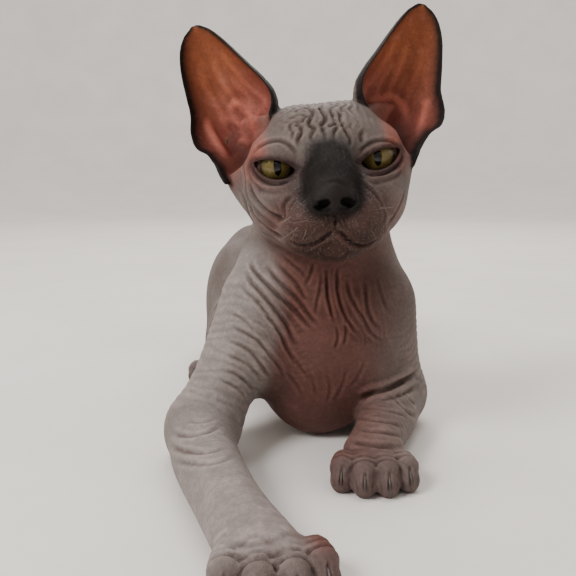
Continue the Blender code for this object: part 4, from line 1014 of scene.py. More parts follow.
def markSkin(obj, foldPoints, foldValues):
    # Where each of the skin's colours lies.
    clay = Clay(obj)
    head, body, mesh = clay.head, clay.drawing, obj.data
    wander = waves(head, 14, 21)
    fold = nearestValues(foldPoints, foldValues, clay.points)
    # fold: creases and hollows, where painted shade and blood darken the skin; crest: raised skin, made lighter
    mark(mesh, "fold", np.clip(-fold / 1.1, 0, 1) * 0.75 + softStep(0.01, 0.10, cavity(mesh)) * 0.55)
    mark(mesh, "crest", softStep(0.0, 0.5, fold) * 0.6 + softStep(0.01, 0.09, -cavity(mesh)) * 0.6)
    # ears
    tree = KDTree(len(earPlaces))
    for i, place in enumerate(earPlaces):
        tree.insert(place[0], i)
    tree.balance()
    inside, rim, high = np.zeros(len(head)), np.zeros(len(head)), np.zeros(len(head))
    for i in np.flatnonzero((np.abs(head[:, 0]) > 17) & (head[:, 2] > -12) & (head[:, 1] > -4)):
        place, number, away = tree.find(clay.points[i])
        close = max(0.0, min(1.0, (2.6 - away / mm) / 1.2))
        _, isInside, toEdge, up = earPlaces[number]
        inside[i] = close * isInside
        rim[i] = close * math.exp(-(toEdge / (1.25 if isInside else 0.9)) ** 1.1)
        high[i] = up
    conch = ellipse(np.abs(head) * (1, 1, 0) + head * (0, 0, 1), (40, 14, 16), (15, 14, 19), 4)
    canal = ellipse(np.abs(head) * (1, 1, 0) + head * (0, 0, 1), (37.5, 14, 8), (8, 11, 11), 2)
    insideOrHollow = np.maximum(inside, conch * softStep(-0.1, 0.25, -clay.normals[:, 1] + 0.1))
    mark(mesh, "earInside", insideOrHollow * softStep(25, 29, np.abs(head[:, 0]) + 0.18 * head[:, 2]))
    mark(mesh, "earRim", rim)
    # share up each ear, which sets where the painted light shines through the thin top
    mark(mesh, "earGlowHigh", high)
    # the ear opening, which is painted dark red as shade
    mark(mesh, "canal", canal)
    # face
    bridge = ellipse(head, (0, -22, -2), (10.5 , 16, 12.5), 2.6)
    side = np.abs(head[:, 0])
    flank = ellipse(np.c_[side, head[:, 1], head[:, 2]], (8, -22, -11), (6.5, 12, 9), 2)
    nose = ellipse(head, (0, -31, -14), (10.5, 8, 8.5), 4)
    mark(mesh, "mask",
         np.clip(1.15 * bridge + 0.75 * flank + 1.0 * nose + 0.10 * wander * (bridge + flank), 0, 1))
    mark(mesh, "nose", nose)
    mark(mesh, "muzzle", ellipse(np.c_[side, head[:, 1], head[:, 2]], (8, -20, -22.5), (14.5, 15, 16), 3))
    # chin: its own darker brown, with painted shade under the jaw
    mark(mesh, "chin", ellipse(head, (0, -16, -37), (19, 16, 9.5), 3))
    x, y, z = openingSettings["nostril"]
    # the nostril hollows, painted near black: their dark lining and painted shade
    mark(mesh, "nostril", ellipse(np.c_[side, head[:, 1], head[:, 2]], (x, y + 2.2, z), (3.2, 3.8, 2.2), 4))
    lid, socket = np.zeros(len(head)), np.zeros(len(head))
    s = openingSettings
    for sign in (1, -1):
        x, z = eyeOffsets(head, sign)
        reach = np.where(z > 0, s["upper"], s["lower"])
        ring = np.hypot(x / (s["width"] / 2), z / (reach + 0.8))
        front = softStep(-1.5, -4, head[:, 1])
        lid = np.maximum(lid, softStep(1.45, 1.12, ring) * front)
        inner = np.hypot((x + sign * s["width"] / 2) / 4.5, z / 3.0)
        socket = np.maximum(socket, softStep(2.3, 1.3, ring) * front)
        lid = np.maximum(lid, softStep(1.3, 0.6, inner) * front)
    mark(mesh, "lid", lid)
    mark(mesh, "socket", socket)
    # body
    # painted shade with a warm bounce: over the chest, fading out towards the cat's right side, and on every
    # surface that faces down from the chest backwards
    chest = (softStep(66, 30, body[:, 1]) * softStep(130, 116, body[:, 2])
             * ellipse(body * (1, 0, 0), (17, 0, 0), (33, 1, 1), 4))
    under = softStep(0.15, -0.5, clay.normals[:, 2]) * softStep(0, 40, body[:, 1])
    mark(mesh, "paintedWarmShade",
         np.maximum(chest * softStep(-34, -12, body[:, 0] + 5 * wander - 0.12 * body[:, 2]), 0.8 * under))
    # the forelegs' own paler skin with painted light: full strength on the lit right foreleg, a fifth of it on
    # the shaded left one
    paleLitForeleg = np.zeros(len(body))
    for start, end, reach, amount in (((-18, 26, 76), (-38, -3, 17), 25, 1.0),
                                      ((-40, -4, 15), (-9, -120, 9), 23, 1.0),
                                      ((50, 33, 50), (57, 43, 17), 20, 0.2),
                                      ((57, 42, 15), (37, -40, 9), 20, 0.2)):
        a, b = np.array(start, float), np.array(end, float)
        t = np.clip((body - a) @ (b - a) / ((b - a) @ (b - a)), 0, 1)
        away = np.linalg.norm(body - a - t[:, None] * (b - a), axis=1)
        paleLitForeleg = np.maximum(paleLitForeleg, amount * softStep(reach, reach - 9, away))
    mark(mesh, "pale", paleLitForeleg)
    toes = np.zeros(len(body))
    for paw in paws.values():
        ahead = math.radians(paw["heading"])
        reach = ((body[:, 0] - paw["base"][0]) * math.sin(ahead)
                 - (body[:, 1] - paw["base"][1]) * math.cos(ahead))
        near = softStep(34, 24, np.hypot(body[:, 0] - paw["base"][0], body[:, 1] - paw["base"][1]))
        toes = np.maximum(toes, near * softStep(0, 10, reach) * softStep(30, 20, body[:, 2]))
    mark(mesh, "toes", toes)


foldPoints = pointsOf(skin.data)
foldValues = foldHeight + fineHeight
report(f"skin thinned to {thinOut(skin, skinSettings['triangles'])} triangles")
finishMesh(skin)
markSkin(skin, foldPoints, foldValues)
report("colours placed")
for name in fleshNodes:
    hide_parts(name)
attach(skin, "root")

class Wire:
    # A shader socket that can be used in Python expressions; each operation adds its Math node.
    def __init__(self, shop, socket):
        self.shop, self.socket = shop, socket

    def math(self, operation, other=None, flip=False, clamp=False):
        values = [self] if other is None else ([other, self] if flip else [self, other])
        return self.shop.node("ShaderNodeMath", {"operation": operation, "use_clamp": clamp}, *values)

    def __add__(self, other): return self.math("ADD", other)
    def __radd__(self, other): return self.math("ADD", other)
    def __sub__(self, other): return self.math("SUBTRACT", other)
    def __rsub__(self, other): return self.math("SUBTRACT", other, flip=True)
    def __mul__(self, other): return self.math("MULTIPLY", other)
    def __rmul__(self, other): return self.math("MULTIPLY", other)
    def __truediv__(self, other): return self.math("DIVIDE", other)
    def __pow__(self, other): return self.math("POWER", other)
    def clip(self): return self.math("ADD", 0.0, clamp=True)


class Shop:
    # One material's workshop.
    def __init__(self, name):
        self.material = bpy.data.materials.new(name)
        self.material.use_nodes = True
        self.tree = self.material.node_tree
        self.shader = self.tree.nodes["Principled BSDF"]

    def node(self, kind, settings=None, *values, out=0, **named):
        made = self.tree.nodes.new(kind)
        for key, value in (settings or {}).items():
            if key == "stops":
                ramp = made.color_ramp
                while len(ramp.elements) > 1:
                    ramp.elements.remove(ramp.elements[-1])
                for i, (place, colour) in enumerate(value):
                    element = ramp.elements[0] if i == 0 else ramp.elements.new(place)
                    element.position, element.color = place, (*colour, 1.0)
            else:
                setattr(made, key, value)
        pairs = list(enumerate(values)) + list(named.items())
        for key, value in pairs:
            if value is None:
                continue
            socket = made.inputs[key.replace("_", " ") if isinstance(key, str) else key]
            if isinstance(value, Wire):
                self.tree.links.new(value.socket, socket)
            else:
                socket.default_value = value
        return Wire(self, made.outputs[out])

    def place(self):
        return self.node("ShaderNodeTexCoord", out="Object")

    def attribute(self, name):
        return self.node("ShaderNodeAttribute", {"attribute_name": name}, out="Fac")

    def noise(self, where, scale, detail=3.0, roughness=0.55, distortion=0.0):
        return self.node("ShaderNodeTexNoise", None, Vector=where, Scale=scale, Detail=detail,
                         Roughness=roughness, Distortion=distortion, out="Fac")

    def cells(self, where, scale, feature="F1", randomness=1.0):
        return self.node("ShaderNodeTexVoronoi", {"feature": feature}, Vector=where, Scale=scale,
                         Randomness=randomness, out="Distance")

    def ramp(self, value, low, high):   # a soft step from 0 at low to 1 at high
        return self.node("ShaderNodeMapRange", {"interpolation_type": "SMOOTHSTEP"}, value, low, high, 0.0, 1.0)

    def colour(self, factor, a, b, blend="MIX"):
        mix = self.tree.nodes.new("ShaderNodeMix")
        mix.data_type, mix.blend_type = "RGBA", blend
        for socket, value in ((mix.inputs[0], factor), (mix.inputs[6], a), (mix.inputs[7], b)):
            if isinstance(value, Wire):
                self.tree.links.new(value.socket, socket)
            else:
                socket.default_value = (*value, 1.0) if isinstance(value, tuple) and len(value) == 3 else value
        return Wire(self, mix.outputs[2])

    def stretch(self, where, scale, turn=(0, 0, 0)):
        return self.node("ShaderNodeMapping", None, where, (0, 0, 0), turn, scale)

    def bump(self, height, strength, distance, normal=None):
        return self.node("ShaderNodeBump", None, Height=height, Strength=strength, Distance=distance,
                         Normal=normal)

    def put(self, **named):
        for key, value in named.items():
            socket = self.shader.inputs[key.replace("_", " ")]
            if isinstance(value, Wire):
                self.tree.links.new(value.socket, socket)
            else:
                socket.default_value = (*value, 1.0) if isinstance(value, tuple) and len(value) == 3 else value

eyeSettings = {"segments": 64, "rings": 48, "gaze": {"left": (-0.17, -1.0, 0.0), "right": (0.13, -1.0, 0.0)},
               "irisAngle": 47.0, "bulge": 0.55}


def eyeball(side, name):
    # A ball with the cornea's low dome, its pole turned to where the cat looks.
    bm = bmesh.new()
    bmesh.ops.create_uvsphere(bm, u_segments=eyeSettings["segments"], v_segments=eyeSettings["rings"],
                              radius=1.0)
    bm.transform(Matrix.Rotation(math.radians(90), 4, "X"))   # poles on Y
    dome = math.radians(42.0)
    for v in bm.verts:
        angle = math.acos(max(-1.0, min(1.0, -v.co.y)))
        lift = max(0.0, 1 - (angle / dome) ** 2) ** 1.5
        v.co *= eyeRadius * (1 - 0.012) + eyeSettings["bulge"] * mm * lift
    bmesh.ops.recalc_face_normals(bm, faces=bm.faces)
    ahead = (headFrame.to_3x3() @ Vector(eyeSettings["gaze"][side])).normalized()
    turn = Vector((0, -1, 0)).rotation_difference(ahead).to_matrix().to_4x4()
    bm.transform(Matrix.Translation(eyeCentre[side]) @ turn @ headFrame.to_3x3().to_4x4())
    obj = objectFrom(name, bm)
    points = inFrame(np.array((Matrix.Translation(eyeCentre[side]) @ turn
                               @ headFrame.to_3x3().to_4x4()).inverted()),
                     pointsOf(obj.data))
    # millimetres across, ahead and up from the pupil
    sight = obj.data.attributes.new("sight", "FLOAT_VECTOR", "POINT")
    sight.data.foreach_set("vector", points.astype(np.float32).ravel())
    finishMesh(obj)
    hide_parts(name)
    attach(obj, "root")
    return obj


def eyeMaterial():
    shop = Shop("olive-yellow eye")
    sight = shop.node("ShaderNodeAttribute", {"attribute_name": "sight"}, out="Vector")
    split = shop.tree.nodes.new("ShaderNodeSeparateXYZ")
    shop.tree.links.new(sight.socket, split.inputs[0])
    x, z = Wire(shop, split.outputs[0]), Wire(shop, split.outputs[2])
    away = (x * x + z * z) ** 0.5
    around = shop.node("ShaderNodeMath", {"operation": "ARCTAN2"}, z, x)
    rays = shop.node("ShaderNodeCombineXYZ", None, around * 6.0, away * 0.35, 0.0)
    fibre = shop.noise(rays, 2.2, 3.0, 0.6)
    iris = shop.colour(shop.ramp(away + fibre * 1.2, 2.6, 7.0), (0.115, 0.078, 0.020), (0.080, 0.062, 0.019))
    iris = shop.colour(shop.ramp(fibre, 0.35, 0.75), iris, (0.165, 0.122, 0.040))
    iris = shop.colour(shop.ramp(away, 5.6, 7.2), iris, (0.022, 0.016, 0.011))
    slit = (((x / 1.75) ** 2.0) + ((z / 3.9) ** 2.0)) ** 0.5
    iris = shop.colour(shop.ramp(slit, 1.12, 0.92), iris, (0.002, 0.002, 0.002))
    white = shop.colour(shop.ramp(away, 7.2, 7.5), iris, (0.10, 0.055, 0.045))
    shop.put(Base_Color=white, Roughness=0.06, Specular_IOR_Level=0.42)
    return shop.material


eyeFinish = eyeMaterial()
for side in ("left", "right"):
    eyeball(side, "eye_" + side).data.materials.append(eyeFinish)
report("eyes made")

# the foreleg tone is the forelegs' paler skin together with painted light on the lit side
skinTones = {"body": ((0.088, 0.070, 0.064), (0.126, 0.104, 0.097)), "paleLitForeleg": (0.205, 0.178, 0.170),
             # chest: the tone of the painted warm shade on the chest and under the body
             "chest": (0.084, 0.031, 0.024), "muzzle": (0.028, 0.0165, 0.014), "chin": (0.014, 0.006, 0.005),
             "socket": (0.070, 0.038, 0.033), "toes": (0.070, 0.051, 0.048), "mask": (0.0052, 0.0034, 0.0030),
             "leather": (0.0115, 0.0082, 0.0076), "lid": (0.018, 0.007, 0.006),
             # nostril: near black, painted shade over the dark lining of the nostril hollows
             "nostril": (0.0008, 0.0006, 0.0006),
             # earGlowHigh: orange painted light shining through the thin upper ear; canal: painted shade in the
             # ear opening
             "earLow": (0.265, 0.078, 0.058), "earGlowHigh": (0.290, 0.088, 0.039), "earPink": (0.34, 0.145, 0.105),
             "canal": (0.018, 0.003, 0.0025), "earRim": (0.008, 0.005, 0.0045)}


def skinTone(shop, where):   # the markings, and the tone they give
    tag, tones = shop.attribute, skinTones
    fold, crest, mask = tag("fold"), tag("crest"), tag("mask")
    broad = shop.noise(where, 24.0, 3.0)
    mottle = shop.noise(where, 130.0, 4.0, 0.65)
    fine = shop.noise(where, 700.0, 3.0, 0.6)
    grain = shop.noise(where, 1500.0, 2.0, 0.7)

    def scaled(tone, by):
        return shop.colour(1.0, tone, by, "MULTIPLY")

    tone = shop.colour(shop.ramp(broad, 0.35, 0.65), *tones["body"])
    # painted warm shade on the chest and under the body
    tone = shop.colour(tag("paintedWarmShade") * (0.70 + 0.30 * broad), tone, tones["chest"])
    # paler forelegs, with painted light strongest on the lit right one
    tone = shop.colour((tag("pale") * (0.45 + 0.75 * mottle)).clip(), tone, tones["paleLitForeleg"])
    tone = shop.colour(tag("socket") * 0.55, tone, tones["socket"])
    tone = shop.colour((tag("muzzle") * (0.7 + 0.45 * mottle)).clip(), tone, tones["muzzle"])
    # the chin's own darker brown, with painted shade under the jaw
    tone = shop.colour(tag("chin") * 0.9, tone, tones["chin"])
    tone = shop.colour(tag("toes") * 0.75, tone, tones["toes"])
    tone = shop.colour(shop.ramp(mottle, 0.45, 0.8) * 0.45, tone, scaled(tone, (1.5, 1.45, 1.42)))
    # ears: red-brown inside, orange painted light shining through where they are thin, pink in the folds, dark
    # red painted shade in the canal
    inner = shop.colour(shop.ramp(tag("earGlowHigh") + broad * 0.25, 0.3, 0.75), tones["earLow"], tones["earGlowHigh"])
    inner = shop.colour(shop.ramp(mottle, 0.5, 0.75) * 0.4, inner, tones["earPink"])
    inner = shop.colour(shop.ramp(broad, 0.45, 0.62) * 0.45, inner, scaled(inner, (0.62, 0.56, 0.56)))
    inner = shop.colour(tag("canal") * 0.95, inner, tones["canal"])
    tone = shop.colour(tag("earInside"), tone, inner)
    tone = shop.colour((tag("earRim") * 1.1).clip(), tone, tones["earRim"])
    # the dark mask of short down over the nose, thinning out grain by grain
    tone = shop.colour(shop.ramp(mask + 0.40 * (grain - 0.5) + 0.35 * (fine - 0.5) + 0.3 * (mottle - 0.5),
                                 0.10, 0.80), tone, tones["mask"])
    tone = shop.colour(tag("nose") * 0.8, tone, tones["leather"])
    tone = shop.colour(tag("lid") * 0.85, tone, tones["lid"])
    # folds hold painted shadow and blood, raised crests are made lighter
    tone = shop.colour((fold * 0.75).clip(), tone, scaled(tone, (0.42, 0.31, 0.29)))
    tone = shop.colour((crest * (1 - mask) * 0.6).clip(), tone, scaled(tone, (1.55, 1.52, 1.50)))
    tone = shop.colour(shop.ramp(fine, 0.35, 0.75) * 0.4, tone, scaled(tone, (1.6, 1.58, 1.56)))
    # near-black nostril hollows: their dark lining and painted shade
    tone = shop.colour(tag("nostril"), tone, tones["nostril"])
    return tone, fold, crest, mask, mottle, fine, grain


def skinMaterial():
    shop = Shop("bare cat skin")
    where = shop.place()
    tone, fold, crest, mask, mottle, fine, grain = skinTone(shop, where)
    # fine crossed lines of the skin, and the down's grain
    lined = shop.cells(shop.stretch(where, (1.0, 1.0, 1.35), (0.3, 0.5, 0.2)), 950.0, "DISTANCE_TO_EDGE")
    small = shop.cells(where, 2100.0, "DISTANCE_TO_EDGE")
    height = (shop.ramp(lined, 0.0, 0.30) * 0.55 + shop.ramp(small, 0.0, 0.3) * 0.25 + fine * 0.5
              + grain * (0.15 + mask * 0.9))
    rough = (0.60 - 0.10 * crest + 0.14 * mask - 0.22 * shop.attribute("nose") - 0.12 * shop.attribute("lid")
             + 0.08 * mottle).clip()
    shop.put(Base_Color=tone, Roughness=rough, Normal=shop.bump(height, 0.6, 0.00024),
             Subsurface_Weight=0.06, Subsurface_Scale=0.003, Specular_IOR_Level=0.17)
    shop.shader.inputs["Subsurface Radius"].default_value = (1.0, 0.32, 0.18)
    return shop.material


skin.data.materials.clear()
skin.data.materials.append(skinMaterial())

clawSettings = {"stations": [(0, -10.6, 9.6, 1.15), (0, -12.8, 9.2, 1.05), (0, -14.6, 7.8, 0.85),
                             (0, -15.7, 5.8, 0.55), (0, -15.9, 4.2, 0.12)],
                "sides": 12, "rings": 14, "flat": 0.62}


def claws():
    settings = clawSettings
    bm = bmesh.new()
    for place, size in toePlaces():
        rows = smoothCurve(settings["stations"], settings["rings"])
        rings = []
        for k, (x, y, z, r) in enumerate(rows):
            ahead = Vector(rows[min(k + 1, len(rows) - 1)][:3]) - Vector(rows[max(k - 1, 0)][:3])
            turn = ahead.to_track_quat("Z", "X").to_matrix().to_4x4()
            spot = place @ Matrix.Translation(Vector((x, -9.5 + (y + 9.5) * size, z * size))) @ turn
            made = bmesh.ops.create_circle(bm, cap_ends=k in (0, len(rows) - 1), segments=settings["sides"],
                                           radius=r * size,
                                           matrix=spot @ Matrix.Diagonal((1.0, settings["flat"], 1.0, 1.0)))
            rings.append(made["verts"])
        loops = [{e for v in ring for e in v.link_edges if e.other_vert(v) in set(ring)} for ring in rings]
        for low, high in zip(loops, loops[1:]):
            bmesh.ops.bridge_loops(bm, edges=list(low | high))
    bmesh.ops.recalc_face_normals(bm, faces=bm.faces)
    bm.transform(Matrix.Translation(drawingShift) @ Matrix.Scale(mm, 4))
    obj = objectFrom("claws", bm)
    finishMesh(obj)
    shop = Shop("dark horn")
    where = shop.place()
    streak = shop.noise(shop.stretch(where, (1.0, 0.25, 1.0)), 2600.0, 2.0)
    shop.put(Base_Color=shop.colour(streak, (0.020, 0.014, 0.012), (0.085, 0.062, 0.052)),
             Roughness=0.28 + 0.2 * streak, Normal=shop.bump(streak, 0.2, 0.0001), Specular_IOR_Level=0.5)
    obj.data.materials.append(shop.material)
    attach(obj, "root")


claws()
report("claws made")

coatSettings = {   # count, length and root radius in millimetres, how far it stands out, rings along it
    "whiskers": {"length": (3.0, 8.5), "radius": 0.080, "stand": 0.50, "rings": 7, "seed": 71},
    "muzzle_bristles": {"count": 3400, "length": (0.6, 1.5), "radius": 0.050, "stand": 0.30, "rings": 2,
                        "seed": 72},
    "mask_down": {"count": 9000, "length": (0.6, 1.5), "radius": 0.060, "stand": 0.28, "rings": 2, "seed": 73},
    "body_down": {"count": 36000, "length": (0.55, 1.15), "radius": 0.050, "stand": 0.22, "rings": 1,
                  "seed": 74},
}
whiskerRoots = [(9.0, -27.5), (12.5, -26.5), (16.0, -25.5), (19.0, -24.5), (8.0, -23.5), (11.5, -22.8),
                (15.0, -22.0),
                (18.5, -21.0), (10.5, -30.5), (14.0, -29.5), (17.5, -28.0)]   # across and up on the whisker pad
bakePatch = 0.003


def skinUnwrap():   # an unwrap of the skin's own shape, to give each tuft its place on the bake map
    proxy = linkObject("unwrap", skin.data.copy())
    thin = proxy.modifiers.new("thin", "DECIMATE")
    thin.ratio = 0.05
    applyModifiers(proxy)
    bpy.context.view_layer.objects.active = proxy
    bpy.ops.object.select_all(action="DESELECT")
    proxy.select_set(True)
    bpy.ops.object.mode_set(mode="EDIT")
    bpy.ops.mesh.select_all(action="SELECT")
    bpy.ops.uv.smart_project(angle_limit=math.radians(66), island_margin=0.003)
    bpy.ops.object.mode_set(mode="OBJECT")
    mesh = proxy.data
    uv = mesh.uv_layers.active.data
    corners = [[mesh.vertices[mesh.loops[i].vertex_index].co.copy() for i in list(p.loop_indices)[:3]] for p in mesh.polygons]
    maps = [[Vector((*uv[i].uv, 0)) for i in list(p.loop_indices)[:3]] for p in mesh.polygons]
    tree = treeOf(proxy)
    bpy.data.objects.remove(proxy)
    return tree, corners, maps


def bakePlaces(points):
    tree, corners, maps = unwrapped
    places = []
    for point in points:
        spot, _, face, _ = tree.find_nearest(Vector(point))
        places.append(barycentric_transform(spot, *corners[face], *maps[face])[:2])
    return np.clip(np.array(places), 0.002, 0.998)


def skinRoots(weights, count, seed):
    # Random places on the skin, denser where the weight is higher: points, normals, nearest vertex numbers.
    dice = np.random.default_rng(seed)
    triangles = np.array([tri.vertices for tri in skin.data.loop_triangles])
    points, normals = pointsOf(skin.data), pointsOf(skin.data, "normal")
    a, b, c = (points[triangles[:, k]] for k in range(3))
    area = np.linalg.norm(np.cross(b - a, c - a), axis=1) * weights[triangles].mean(axis=1)
    chosen = np.searchsorted(np.cumsum(area), dice.random(count) * area.sum())
    u, v = dice.random(count), dice.random(count)
    u, v = np.where(u + v > 1, 1 - u, u), np.where(u + v > 1, 1 - v, v)
    root = a[chosen] + (b - a)[chosen] * u[:, None] + (c - a)[chosen] * v[:, None]
    return root, normals[triangles[chosen, 0]], triangles[chosen, 0]


def lieOfCoat(points, normals):
    # Which way hair lies: away from the nose on the head, down the legs and backwards on the trunk.
    head, body = inFrame(rowToHead, points), points / mm - np.array(drawingShift) / mm
    away = head - np.array((0, -34, -12))
    away[:, 0] *= 1.4
    turn = np.array(headPlace)[:3, :3]
    onHead = away @ turn.T
    onHead /= np.linalg.norm(onHead, axis=1, keepdims=True)
    flow = np.tile(np.array((0.0, 1.0, -0.35)), (len(points), 1))
    isHead = softStep(104, 116, body[:, 2]) * softStep(75, 55, body[:, 1])
    flow += (onHead - flow) * isHead[:, None]
    ears = softStep(20, 30, head[:, 2]) * softStep(28, 34, np.abs(head[:, 0]))
    flow += (np.array((0, 0.1, 1.0)) - flow) * ears[:, None]
    for start, end, reach in (((-18, 26, 76), (-38, -3, 17), 24), ((-40, -4, 15), (-9, -120, 9), 20),
                              ((50, 33, 60), (57, 43, 17), 20), ((57, 42, 15), (37, -40, 9), 18)):
        a, b = np.array(start, float), np.array(end, float)
        t = np.clip((body - a) @ (b - a) / ((b - a) @ (b - a)), 0, 1)
        close = (softStep(reach, reach - 8, np.linalg.norm(body - a - t[:, None] * (b - a), axis=1))
                 * (body[:, 2] < 84))
        flow += ((b - a) / np.linalg.norm(b - a) - flow) * close[:, None]
    flow -= normals * (flow * normals).sum(axis=1, keepdims=True)
    return flow / np.maximum(np.linalg.norm(flow, axis=1, keepdims=True), 1e-6)


def growHair(name, roots, normals, numbers, settings, lengthScale=None, bend=0.35):
    # Thin three-sided spikes, closed at both ends, each with its skin's markings and its patch of the bake map.
    dice = np.random.default_rng(settings["seed"] + 500)
    count, rings = len(roots), settings["rings"]
    along = lieOfCoat(roots, normals)
    sideways = np.cross(normals, along)
    along = along + sideways * dice.normal(0, 0.28, (count, 1))
    along /= np.linalg.norm(along, axis=1, keepdims=True)
    sideways = np.cross(normals, along)
    low, high = settings["length"]
    length = (low + (high - low) * dice.random(count) ** 1.5) * mm
    if lengthScale is not None:
        length = length * lengthScale
    stand = settings["stand"] * (0.6 + 0.8 * dice.random(count))
    curl = dice.normal(0, bend, count)
    verts = np.zeros((count, rings * 3 + 1, 3))
    share = np.zeros((count, rings * 3 + 1))
    for k in range(rings + 1):
        t = k / rings
        middle = (roots - normals * 0.08 * mm + along * (length * t)[:, None]
                  + normals * (length * stand * (t - 0.35 * t * t))[:, None]
                  + sideways * (length * curl * t * t)[:, None])
        if k == rings:
            verts[:, -1], share[:, -1] = middle, 1.0
            continue
        radius = settings["radius"] * mm * (1 - 0.6 * t)
        for corner in range(3):
            angle = corner * math.tau / 3
            verts[:, k * 3 + corner] = (middle + radius
                                        * (math.cos(angle) * sideways + math.sin(angle) * normals))
            share[:, k * 3 + corner] = t
    faces = [(2, 1, 0)]
    for k in range(rings - 1):
        faces += [(k * 3 + c, k * 3 + (c + 1) % 3, k * 3 + 3 + (c + 1) % 3, k * 3 + 3 + c) for c in range(3)]
    last = (rings - 1) * 3
    faces += [(last + c, last + (c + 1) % 3, rings * 3) for c in range(3)]
    size = rings * 3 + 1
    allFaces = [tuple(v + i * size for v in face) for i in range(count) for face in faces]
    mesh = bpy.data.meshes.new(name)
    mesh.from_pydata(verts.reshape(-1, 3).tolist(), [], allFaces)
    obj = linkObject(name, mesh)
    mark(mesh, "share", share.ravel())
    mark(mesh, "shade", np.repeat(dice.random(count), size))
    for markName in ("mask", "muzzle", "chin", "pale", "paintedWarmShade", "earInside", "nose"):
        values = np.zeros(len(skin.data.vertices), np.float32)
        skin.data.attributes[markName].data.foreach_get("value", values)
        mark(mesh, markName, np.repeat(values[numbers], size))
    where = bakePlaces(roots)
    corners = np.array([loop.vertex_index for loop in mesh.loops])
    tuft, local = corners // size, corners % size
    patch = np.c_[(local % 3) / 2 - 0.5, np.minimum(local // 3, rings) / rings - 0.5] * bakePatch
    layer = mesh.uv_layers.new(name="OFBake")
    layer.data.foreach_set("uv", (where[tuft] + patch).astype(np.float32).ravel())
    mesh.materials.append(hairFinish)
    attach(obj, "root")
    report(f"{name}: {count} hairs")
    return obj


def hairMaterial():
    shop = Shop("short pale and dark down")
    tag = shop.attribute
    shade, share = tag("shade"), tag("share")
    tone = shop.colour(shade, (0.10, 0.085, 0.080), (0.26, 0.24, 0.23))
    # the down carries the same painted warm shade
    tone = shop.colour(tag("paintedWarmShade") * 0.8, tone, (0.12, 0.065, 0.050))
    # paler down on the forelegs, with the same painted light
    tone = shop.colour(tag("pale") * 0.8, tone, (0.34, 0.32, 0.31))
    tone = shop.colour(tag("earInside"), tone, (0.30, 0.14, 0.09))
    white = shop.colour(shop.ramp(shade, 0.40, 0.70), (0.026, 0.016, 0.013), (0.34, 0.29, 0.255))
    tone = shop.colour((tag("muzzle") * 1.3).clip(), tone, white)
    tone = shop.colour(tag("chin"), tone,
                       shop.colour(shop.ramp(shade, 0.70, 0.85), (0.020, 0.011, 0.009), (0.40, 0.34, 0.30)))
    dark = shop.colour(shop.ramp(shade, 0.80, 0.95), (0.006, 0.0045, 0.004), (0.050, 0.040, 0.036))
    tone = shop.colour((tag("mask") * 1.6).clip(), tone, dark)
    tone = shop.colour(share * 0.3, tone, shop.colour(1.0, tone, (1.5, 1.45, 1.4), "MULTIPLY"))
    shop.put(Base_Color=tone, Roughness=0.45 + 0.15 * share, Specular_IOR_Level=0.3)
    return shop.material


def markValues(name):
    values = np.zeros(len(skin.data.vertices), np.float32)
    skin.data.attributes[name].data.foreach_get("value", values)
    return values


def growCoat():
    skin.data.calc_loop_triangles()
    clay = Clay(skin)
    head, body = clay.head, clay.drawing
    muzzle, mask, nose, chin = (markValues(name) for name in ("muzzle", "mask", "nose", "chin"))
    bare = (1 - nose) * (1 - markValues("lid")) * (1 - 0.75 * markValues("earInside"))
    weights = {"muzzle_bristles": (softStep(0.25, 0.6, muzzle) + 0.6 * softStep(0.3, 0.8, chin)) * (1 - nose)
                                  * softStep(0.9, 0.4, mask) * softStep(-4, -12, head[:, 1]),
               "mask_down": softStep(0.12, 0.5, mask) * (1 - nose),
               "body_down": (0.25 + softStep(0, 1, bare)) * bare * softStep(0.5, 2.0, body[:, 2])}
    for name, weight in weights.items():
        settings = coatSettings[name]
        roots, normals, numbers = skinRoots(weight, settings["count"], settings["seed"])
        scale = None
        if name == "body_down":   # finest on the face and feet
            local, place = inFrame(rowToHead, roots), roots / mm - np.array(drawingShift) / mm
            onFace = softStep(30, 10, local[:, 1]) * softStep(-50, -40, local[:, 2])
            scale = 1 - 0.4 * np.maximum(onFace,
                                         softStep(26, 16, place[:, 2]) * softStep(-30, -60, place[:, 1]))
        growHair(name, roots, normals, numbers, settings, scale)
    tree = treeOf(skin)
    roots, normals = [], []
    for side in (1, -1):
        for x, z in whiskerRoots:
            start = headPoint(side * x, -60, z)
            ahead = (headPoint(side * x, 0, z) - start).normalized()
            spot, normal, _, _ = tree.ray_cast(start, ahead)
            if spot is not None:
                roots.append(tuple(spot)), normals.append(tuple(normal))
    found = KDTree(len(clay.points))
    for i, p in enumerate(clay.points):
        found.insert(p, i)
    found.balance()
    numbers = np.array([found.find(p)[1] for p in roots])
    growHair("whiskers", np.array(roots), np.array(normals), numbers, coatSettings["whiskers"], bend=0.22)


unwrapped = skinUnwrap()
hairFinish = hairMaterial()
growCoat()

def softBox(name, place, aim, size, energy, colour):
    data = bpy.data.lights.new(name, "AREA")
    data.shape, data.size, data.size_y = "RECTANGLE", size[0], size[1]
    data.energy, data.color = energy, colour
    lamp = bpy.data.objects.new(name, data)
    lamp.location = Vector(place)
    lamp.rotation_euler = (Vector(aim) - Vector(place)).to_track_quat("-Z", "Y").to_euler()
    bpy.context.scene.collection.objects.link(lamp)


stageSettings = {"floorRadius": 1.7, "cornerRadius": 0.9, "wallTop": 2.6, "steps": 64}


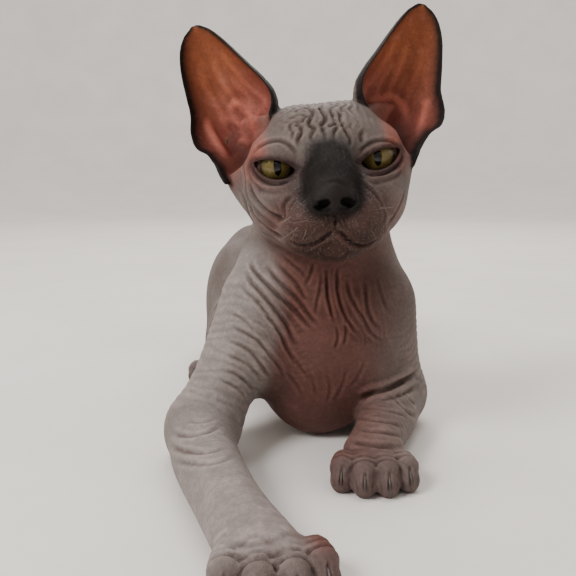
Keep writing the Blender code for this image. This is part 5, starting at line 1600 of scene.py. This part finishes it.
def studio():
    s = stageSettings
    bm = bmesh.new()
    profile = [(0.0, 0.0), (s["floorRadius"] * 0.5, 0.0), (s["floorRadius"], 0.0)]
    for k in range(1, 13):
        a = math.radians(k * 7.5)
        profile.append((s["floorRadius"] + s["cornerRadius"] * math.sin(a),
                        s["cornerRadius"] * (1 - math.cos(a))))
    profile.append((s["floorRadius"] + s["cornerRadius"], s["wallTop"]))
    line = [bm.verts.new((x, 0, z)) for x, z in profile]
    edges = [bm.edges.new(pair) for pair in zip(line, line[1:])]
    bmesh.ops.spin(bm, geom=line + edges, cent=(0, 0, 0), axis=(0, 0, 1), angle=math.tau, steps=s["steps"],
                   use_merge=True)
    bmesh.ops.remove_doubles(bm, verts=bm.verts, dist=1e-5)
    bmesh.ops.recalc_face_normals(bm, faces=bm.faces)
    bmesh.ops.reverse_faces(bm, faces=bm.faces)
    floor = objectFrom("floor", bm)
    for face in floor.data.polygons:
        face.use_smooth = True
    shop = Shop("pale floor")
    where = shop.place()
    shop.put(Base_Color=shop.colour(shop.ramp(shop.noise(where, 9.0), 0.3, 0.7), (0.74, 0.71, 0.68),
                                    (0.78, 0.75, 0.72)),
             Roughness=0.8)
    floor.data.materials.append(shop.material)
    softBox("key", (-0.72, -0.62, 0.85), (0, 0, 0.1), (0.42, 0.42), 13.5, (1.0, 0.98, 0.95))
    softBox("fill", (1.3, -0.5, 0.9), (0, 0, 0.1), (1.2, 1.2), 2.5, (1.0, 0.90, 0.82))
    softBox("back", (0.15, 1.2, 1.1), (0, 0, 0.12), (1.0, 0.5), 10.0, (1.0, 0.95, 0.90))
    softBox("backdrop light", (0, 0.3, 2.2), (0, 1.6, 0.4), (1.6, 0.8), 34.0, (1.0, 0.98, 0.96))
    world = bpy.data.worlds.new("room")
    bpy.context.scene.world = world
    world.use_nodes = True
    world.node_tree.nodes["Background"].inputs["Color"].default_value = (0.95, 0.93, 0.91, 1)
    world.node_tree.nodes["Background"].inputs["Strength"].default_value = 0.55


studio()
